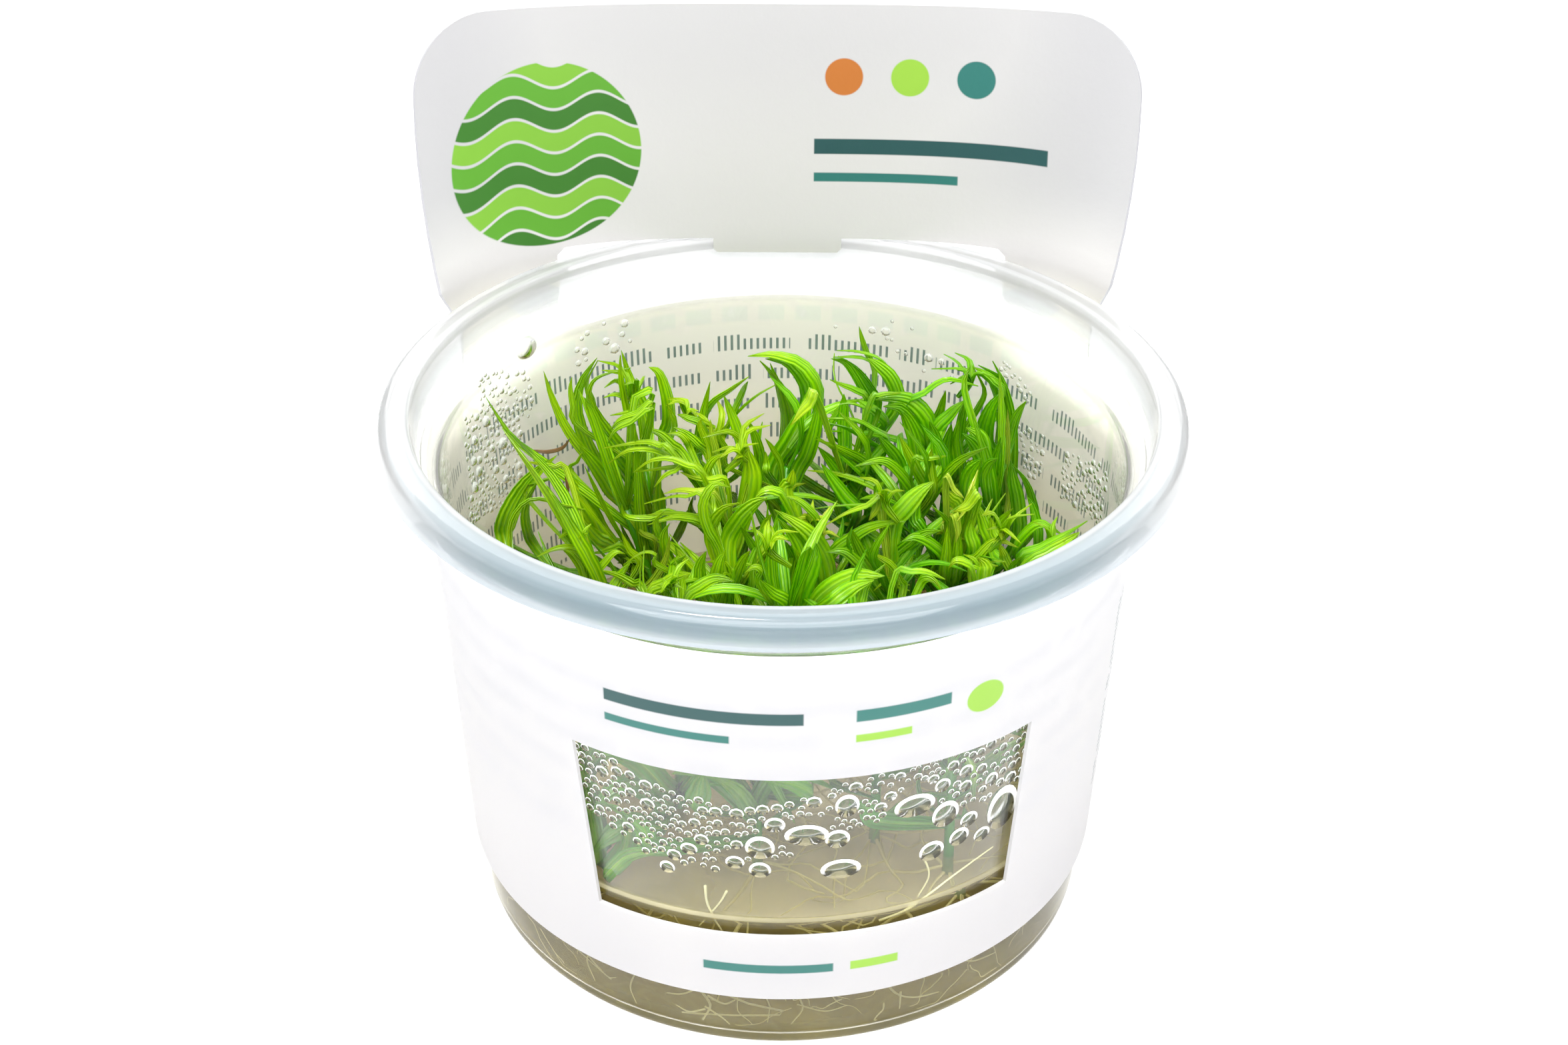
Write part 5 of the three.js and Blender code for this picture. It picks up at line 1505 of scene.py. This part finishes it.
def fine_roots(count):
    """Fine roots that run down near the wall."""
    for k in range(count):
        turn, z = lerp(-64, 64, scatter(k, 501)), lerp(5, 17, scatter(k, 502))
        drift = lerp(-2.2, 2.2, scatter(k, 503))
        points = []
        for step in range(6):
            angle = math.radians(turn + drift * step + 1.6 * (scatter(k, step + 510) - 0.5))
            low = clamp(z - step * lerp(0.3, 1.5, scatter(k, 504)) + scatter(k, step + 520) - 0.5, 1.9, 20)
            points.append(on_wall(angle, inner_wall(low) - 0.4 - 1.2 * scatter(k, 505), low))
        yield points, lerp(0.06, 0.14, scatter(k, 506))


def root_paths(settings):
    """All roots, with those along the wall that show in the window last."""
    yield from stem_roots(settings.roots)
    yield from fine_roots(settings.wall_roots)
    for radius, flat in WALL_ROOTS:
        places = zip(flat[::2], flat[1::2])
        yield [on_wall(math.radians(turn), inner_wall(z) - 0.55, z) for turn, z in places], radius


def drop_template(segments, rings):
    """A dome of water on a flat base, one unit in radius, its top at z = 1. The base's chart is shifted."""
    bm = bmesh.new()
    bmesh.ops.create_uvsphere(bm, u_segments=segments, v_segments=rings * 2, radius=1)
    bmesh.ops.bisect_plane(
        bm, geom=bm.verts[:] + bm.edges[:] + bm.faces[:], dist=1e-4, plane_co=(0, 0, 0), plane_no=(0, 0, -1),
        clear_outer=True,
    )
    bmesh.ops.edgeloop_fill(bm, edges=[e for e in bm.edges if e.is_boundary])
    bmesh.ops.recalc_face_normals(bm, faces=bm.faces)

    def place(face, co):
        shift = BASE_CHART_SHIFT if face.normal.z < -0.9 else 0.0
        return co.x * 0.5 + 0.5 + shift, co.y * 0.5 + 0.5

    set_chart(bm, place)
    return as_mesh(bm, "drop_template")


def add_drop(bm, template, angle, z, half_width, half_height, depth):
    """A dome on the inside of the wall, its base sunk into the plastic. The angle is from the front."""
    turn = math.radians(angle)
    sideways = heading_to(turn)
    outward = on_wall(turn, 1, 0)
    up = Vector((outward.x * WALL_SLOPE, outward.y * WALL_SLOPE, 1)).normalized()
    inward = -(outward - up * outward.dot(up)).normalized()
    base = outward * (inner_wall(z) + 0.12) + Vector((0, 0, z))
    for vert in paste(bm, template):
        x, y, h = vert.co
        sag = 1 + 0.12 * (0.5 - y)
        vert.co = base + sideways * (x * half_width) + up * (y * half_height) + inward * (h * depth * sag)


def water_mesh(settings):
    """The large drops behind the window, then small ones wherever a try finds room."""
    bm = bmesh.new()
    bm.loops.layers.uv.new("UVMap")
    fine, plain = drop_template(20, 6), drop_template(8, 3)
    taken = []
    for angle, z, width, height in WINDOW_DROPS:
        add_drop(bm, fine, angle, z, width * 0.44, height * 0.48, min(width, height) * 0.22)
        taken.append((angle * WALL_MM_PER_DEGREE, z, max(width, height) / 2))
    for area, (turns, start, end, count, sizes) in enumerate(DROP_AREAS):
        for k in range(round(count * settings.spread)):
            for attempt in range(DROP_TRIES):
                seed = k * DROP_TRIES + attempt
                share_along = scatter(area + 31, seed)
                angle = lerp(*turns, share_along)
                low, high = lerp(start[0], end[0], share_along), lerp(start[1], end[1], share_along)
                z = lerp(low, high, scatter(area + 57, seed))
                radius = lerp(*sizes, scatter(area + 83, seed) ** 2)
                x = angle * WALL_MM_PER_DEGREE
                if all((x - a) ** 2 + (z - b) ** 2 > (radius + c) ** 2 * 0.9 for a, b, c in taken):
                    add_drop(bm, plain, angle, z, radius, radius * 0.95, radius * 0.8)
                    taken.append((x, z, radius))
                    break
    return bm


# Operators


class MakeCup(bpy.types.Operator):
    """Builds the clear plastic cup."""

    bl_idname = "culture.cup"
    bl_label = "Cup"

    def execute(self, context):
        settings = context.scene.culture_cup
        finish_piece("clear_cup", cup_mesh(settings), [cup_material(settings)], ["cup"], True)
        return {"FINISHED"}


class MakeGel(bpy.types.Operator):
    """Builds the culture gel."""

    bl_idname = "culture.gel"
    bl_label = "Gel"

    def execute(self, context):
        settings = context.scene.culture_gel
        finish_piece("culture_gel", gel_mesh(settings), [gel_material(settings)], ["gel"], True)
        return {"FINISHED"}


class MakeCard(bpy.types.Operator):
    """Builds the card sleeve with its header."""

    bl_idname = "culture.card"
    bl_label = "Card sleeve"

    def execute(self, context):
        settings = context.scene.culture_card
        materials = [card_outer_material(settings), card_inner_material(settings)]
        finish_piece("printed_card", card_mesh(settings.thickness / MM), materials, ["card_sleeve"])
        return {"FINISHED"}


class MakePlants(bpy.types.Operator):
    """Builds each shoot with its leaves."""

    bl_idname = "culture.plants"
    bl_label = "Plants"

    def execute(self, context):
        settings = context.scene.culture_plant
        leaf = leaf_material(settings)
        plain, fine = blade_template(PLAIN_ROWS), blade_template(PLACED_ROWS)
        tube = tube_template(STEM_SIDES, STEM_ROWS)
        for index, shoot in enumerate(SHOOTS):
            name = f"{index + 1:02d}"
            bm = shoot_mesh(settings, shoot, index, plain, fine, tube)
            finish_piece(f"plant_{name}", bm, [leaf], [f"shoot_{name}"])
        return {"FINISHED"}


class MakeRoots(bpy.types.Operator):
    """Builds the pale roots in the gel."""

    bl_idname = "culture.roots"
    bl_label = "Roots"

    def execute(self, context):
        settings = context.scene.culture_plant
        bm = bmesh.new()
        tube = tube_template(ROOT_SIDES, ROOT_ROWS)
        for points, radius in root_paths(settings):
            add_tube(bm, tube, points, radius, 0.5)
        bmesh.ops.recalc_face_normals(bm, faces=bm.faces)
        finish_piece("roots", bm, [root_material()])
        return {"FINISHED"}


class MakeWater(bpy.types.Operator):
    """Builds the condensation on the wall."""

    bl_idname = "culture.water"
    bl_label = "Condensation"

    def execute(self, context):
        settings = context.scene.culture_water
        finish_piece("condensation", water_mesh(settings), [water_material()], clear=True)
        return {"FINISHED"}


def area_light(name, place, target, size, watts):
    """A rectangular light that faces a target, in metres."""
    lamp = bpy.data.lights.new(name, "AREA")
    lamp.shape = "RECTANGLE"
    lamp.size, lamp.size_y = size
    lamp.energy = watts
    holder = show(name, lamp)
    holder.location = place
    holder.rotation_euler = (Vector(target) - Vector(place)).to_track_quat("-Z", "Y").to_euler()


def make_floor(settings):
    bm = bmesh.new()
    bmesh.ops.create_circle(bm, cap_ends=True, segments=96, radius=6.0)
    bmesh.ops.translate(bm, vec=(0, 0, -0.00015), verts=bm.verts)
    mesh = as_mesh(bm, "floor")
    mesh.materials.append(floor_material(settings))
    show("floor", mesh)


def make_lights(settings):
    middle = (0, 0, 0.05)
    for name, place, target, size, watts in (
        ("front_light", (0.0, -0.22, 0.62), middle, (0.6, 0.4), settings.key),
        ("back_light", (0.0, 0.55, 0.30), (0, 0, 0.06), (0.7, 0.4), settings.back),
        ("crown_light", (-0.05, 0.14, 0.50), middle, (0.06, 0.06), settings.crown),
        ("low_light", (0.0, -0.62, 0.10), (0, 0, 0.03), (0.9, 0.16), settings.low),
        ("left_light", (-0.60, -0.10, 0.40), middle, (0.4, 0.4), settings.side),
        ("right_light", (0.60, -0.10, 0.40), middle, (0.4, 0.4), settings.side),
    ):
        area_light(name, place, target, size, watts)


def make_camera():
    """The camera that took the photo, as fitted to the cup's ellipses."""
    lens = bpy.data.cameras.new("camera")
    lens.sensor_width = SENSOR_WIDTH
    lens.lens = SENSOR_WIDTH * FOCAL_LENGTH_PX / PHOTO_WIDTH_PX
    lens.clip_start = 0.01
    camera = show("camera", lens)
    turn = Matrix.Rotation(math.pi / 2 - CAMERA_PITCH, 4, "X") @ Matrix.Rotation(CAMERA_ROLL, 4, "Z")
    camera.matrix_world = Matrix.Translation(CAMERA_PLACE * MM) @ turn
    bpy.context.scene.camera = camera


class MakeStage(bpy.types.Operator):
    """Sets up the floor, the lights and the camera."""

    bl_idname = "culture.stage"
    bl_label = "Stage"

    def execute(self, context):
        settings = context.scene.culture_stage
        make_floor(settings)
        world = bpy.data.worlds.new("studio")
        context.scene.world = world
        world.use_nodes = True
        back = world.node_tree.nodes["Background"]
        back.inputs["Color"].default_value = (0.93, 0.95, 1.0, 1.0)
        back.inputs["Strength"].default_value = settings.sky
        make_lights(settings)
        make_camera()
        context.scene.view_settings.view_transform = "Standard"
        return {"FINISHED"}


class CulturePanel(bpy.types.Panel):
    """Lists the pieces and their settings."""

    bl_idname = "VIEW3D_PT_culture"
    bl_label = "Plant Culture Cup"
    bl_space_type = "VIEW_3D"
    bl_region_type = "UI"
    bl_category = "Plant Cup"

    def draw(self, context):
        for operator in OPERATORS:
            self.layout.operator(operator.bl_idname)
        for name, group in SETTINGS.items():
            box = self.layout.box()
            for key in group.__annotations__:
                box.prop(getattr(context.scene, name), key)


OPERATORS = (MakeStage, MakeCup, MakeGel, MakeCard, MakePlants, MakeRoots, MakeWater)


def register():
    for group in SETTINGS.values():
        bpy.utils.register_class(group)
    for name, group in SETTINGS.items():
        setattr(bpy.types.Scene, name, PointerProperty(type=group))
    for operator in OPERATORS:
        bpy.utils.register_class(operator)
    bpy.utils.register_class(CulturePanel)


def unregister():
    bpy.utils.unregister_class(CulturePanel)
    for operator in reversed(OPERATORS):
        bpy.utils.unregister_class(operator)
    for name in SETTINGS:
        delattr(bpy.types.Scene, name)
    for group in reversed(list(SETTINGS.values())):
        bpy.utils.unregister_class(group)


def main():
    register()
    bpy.ops.culture.stage()
    bpy.ops.culture.cup()
    bpy.ops.culture.gel()
    bpy.ops.culture.card()
    bpy.ops.culture.plants()
    bpy.ops.culture.roots()
    bpy.ops.culture.water()


if __name__ == "__main__":
    main()
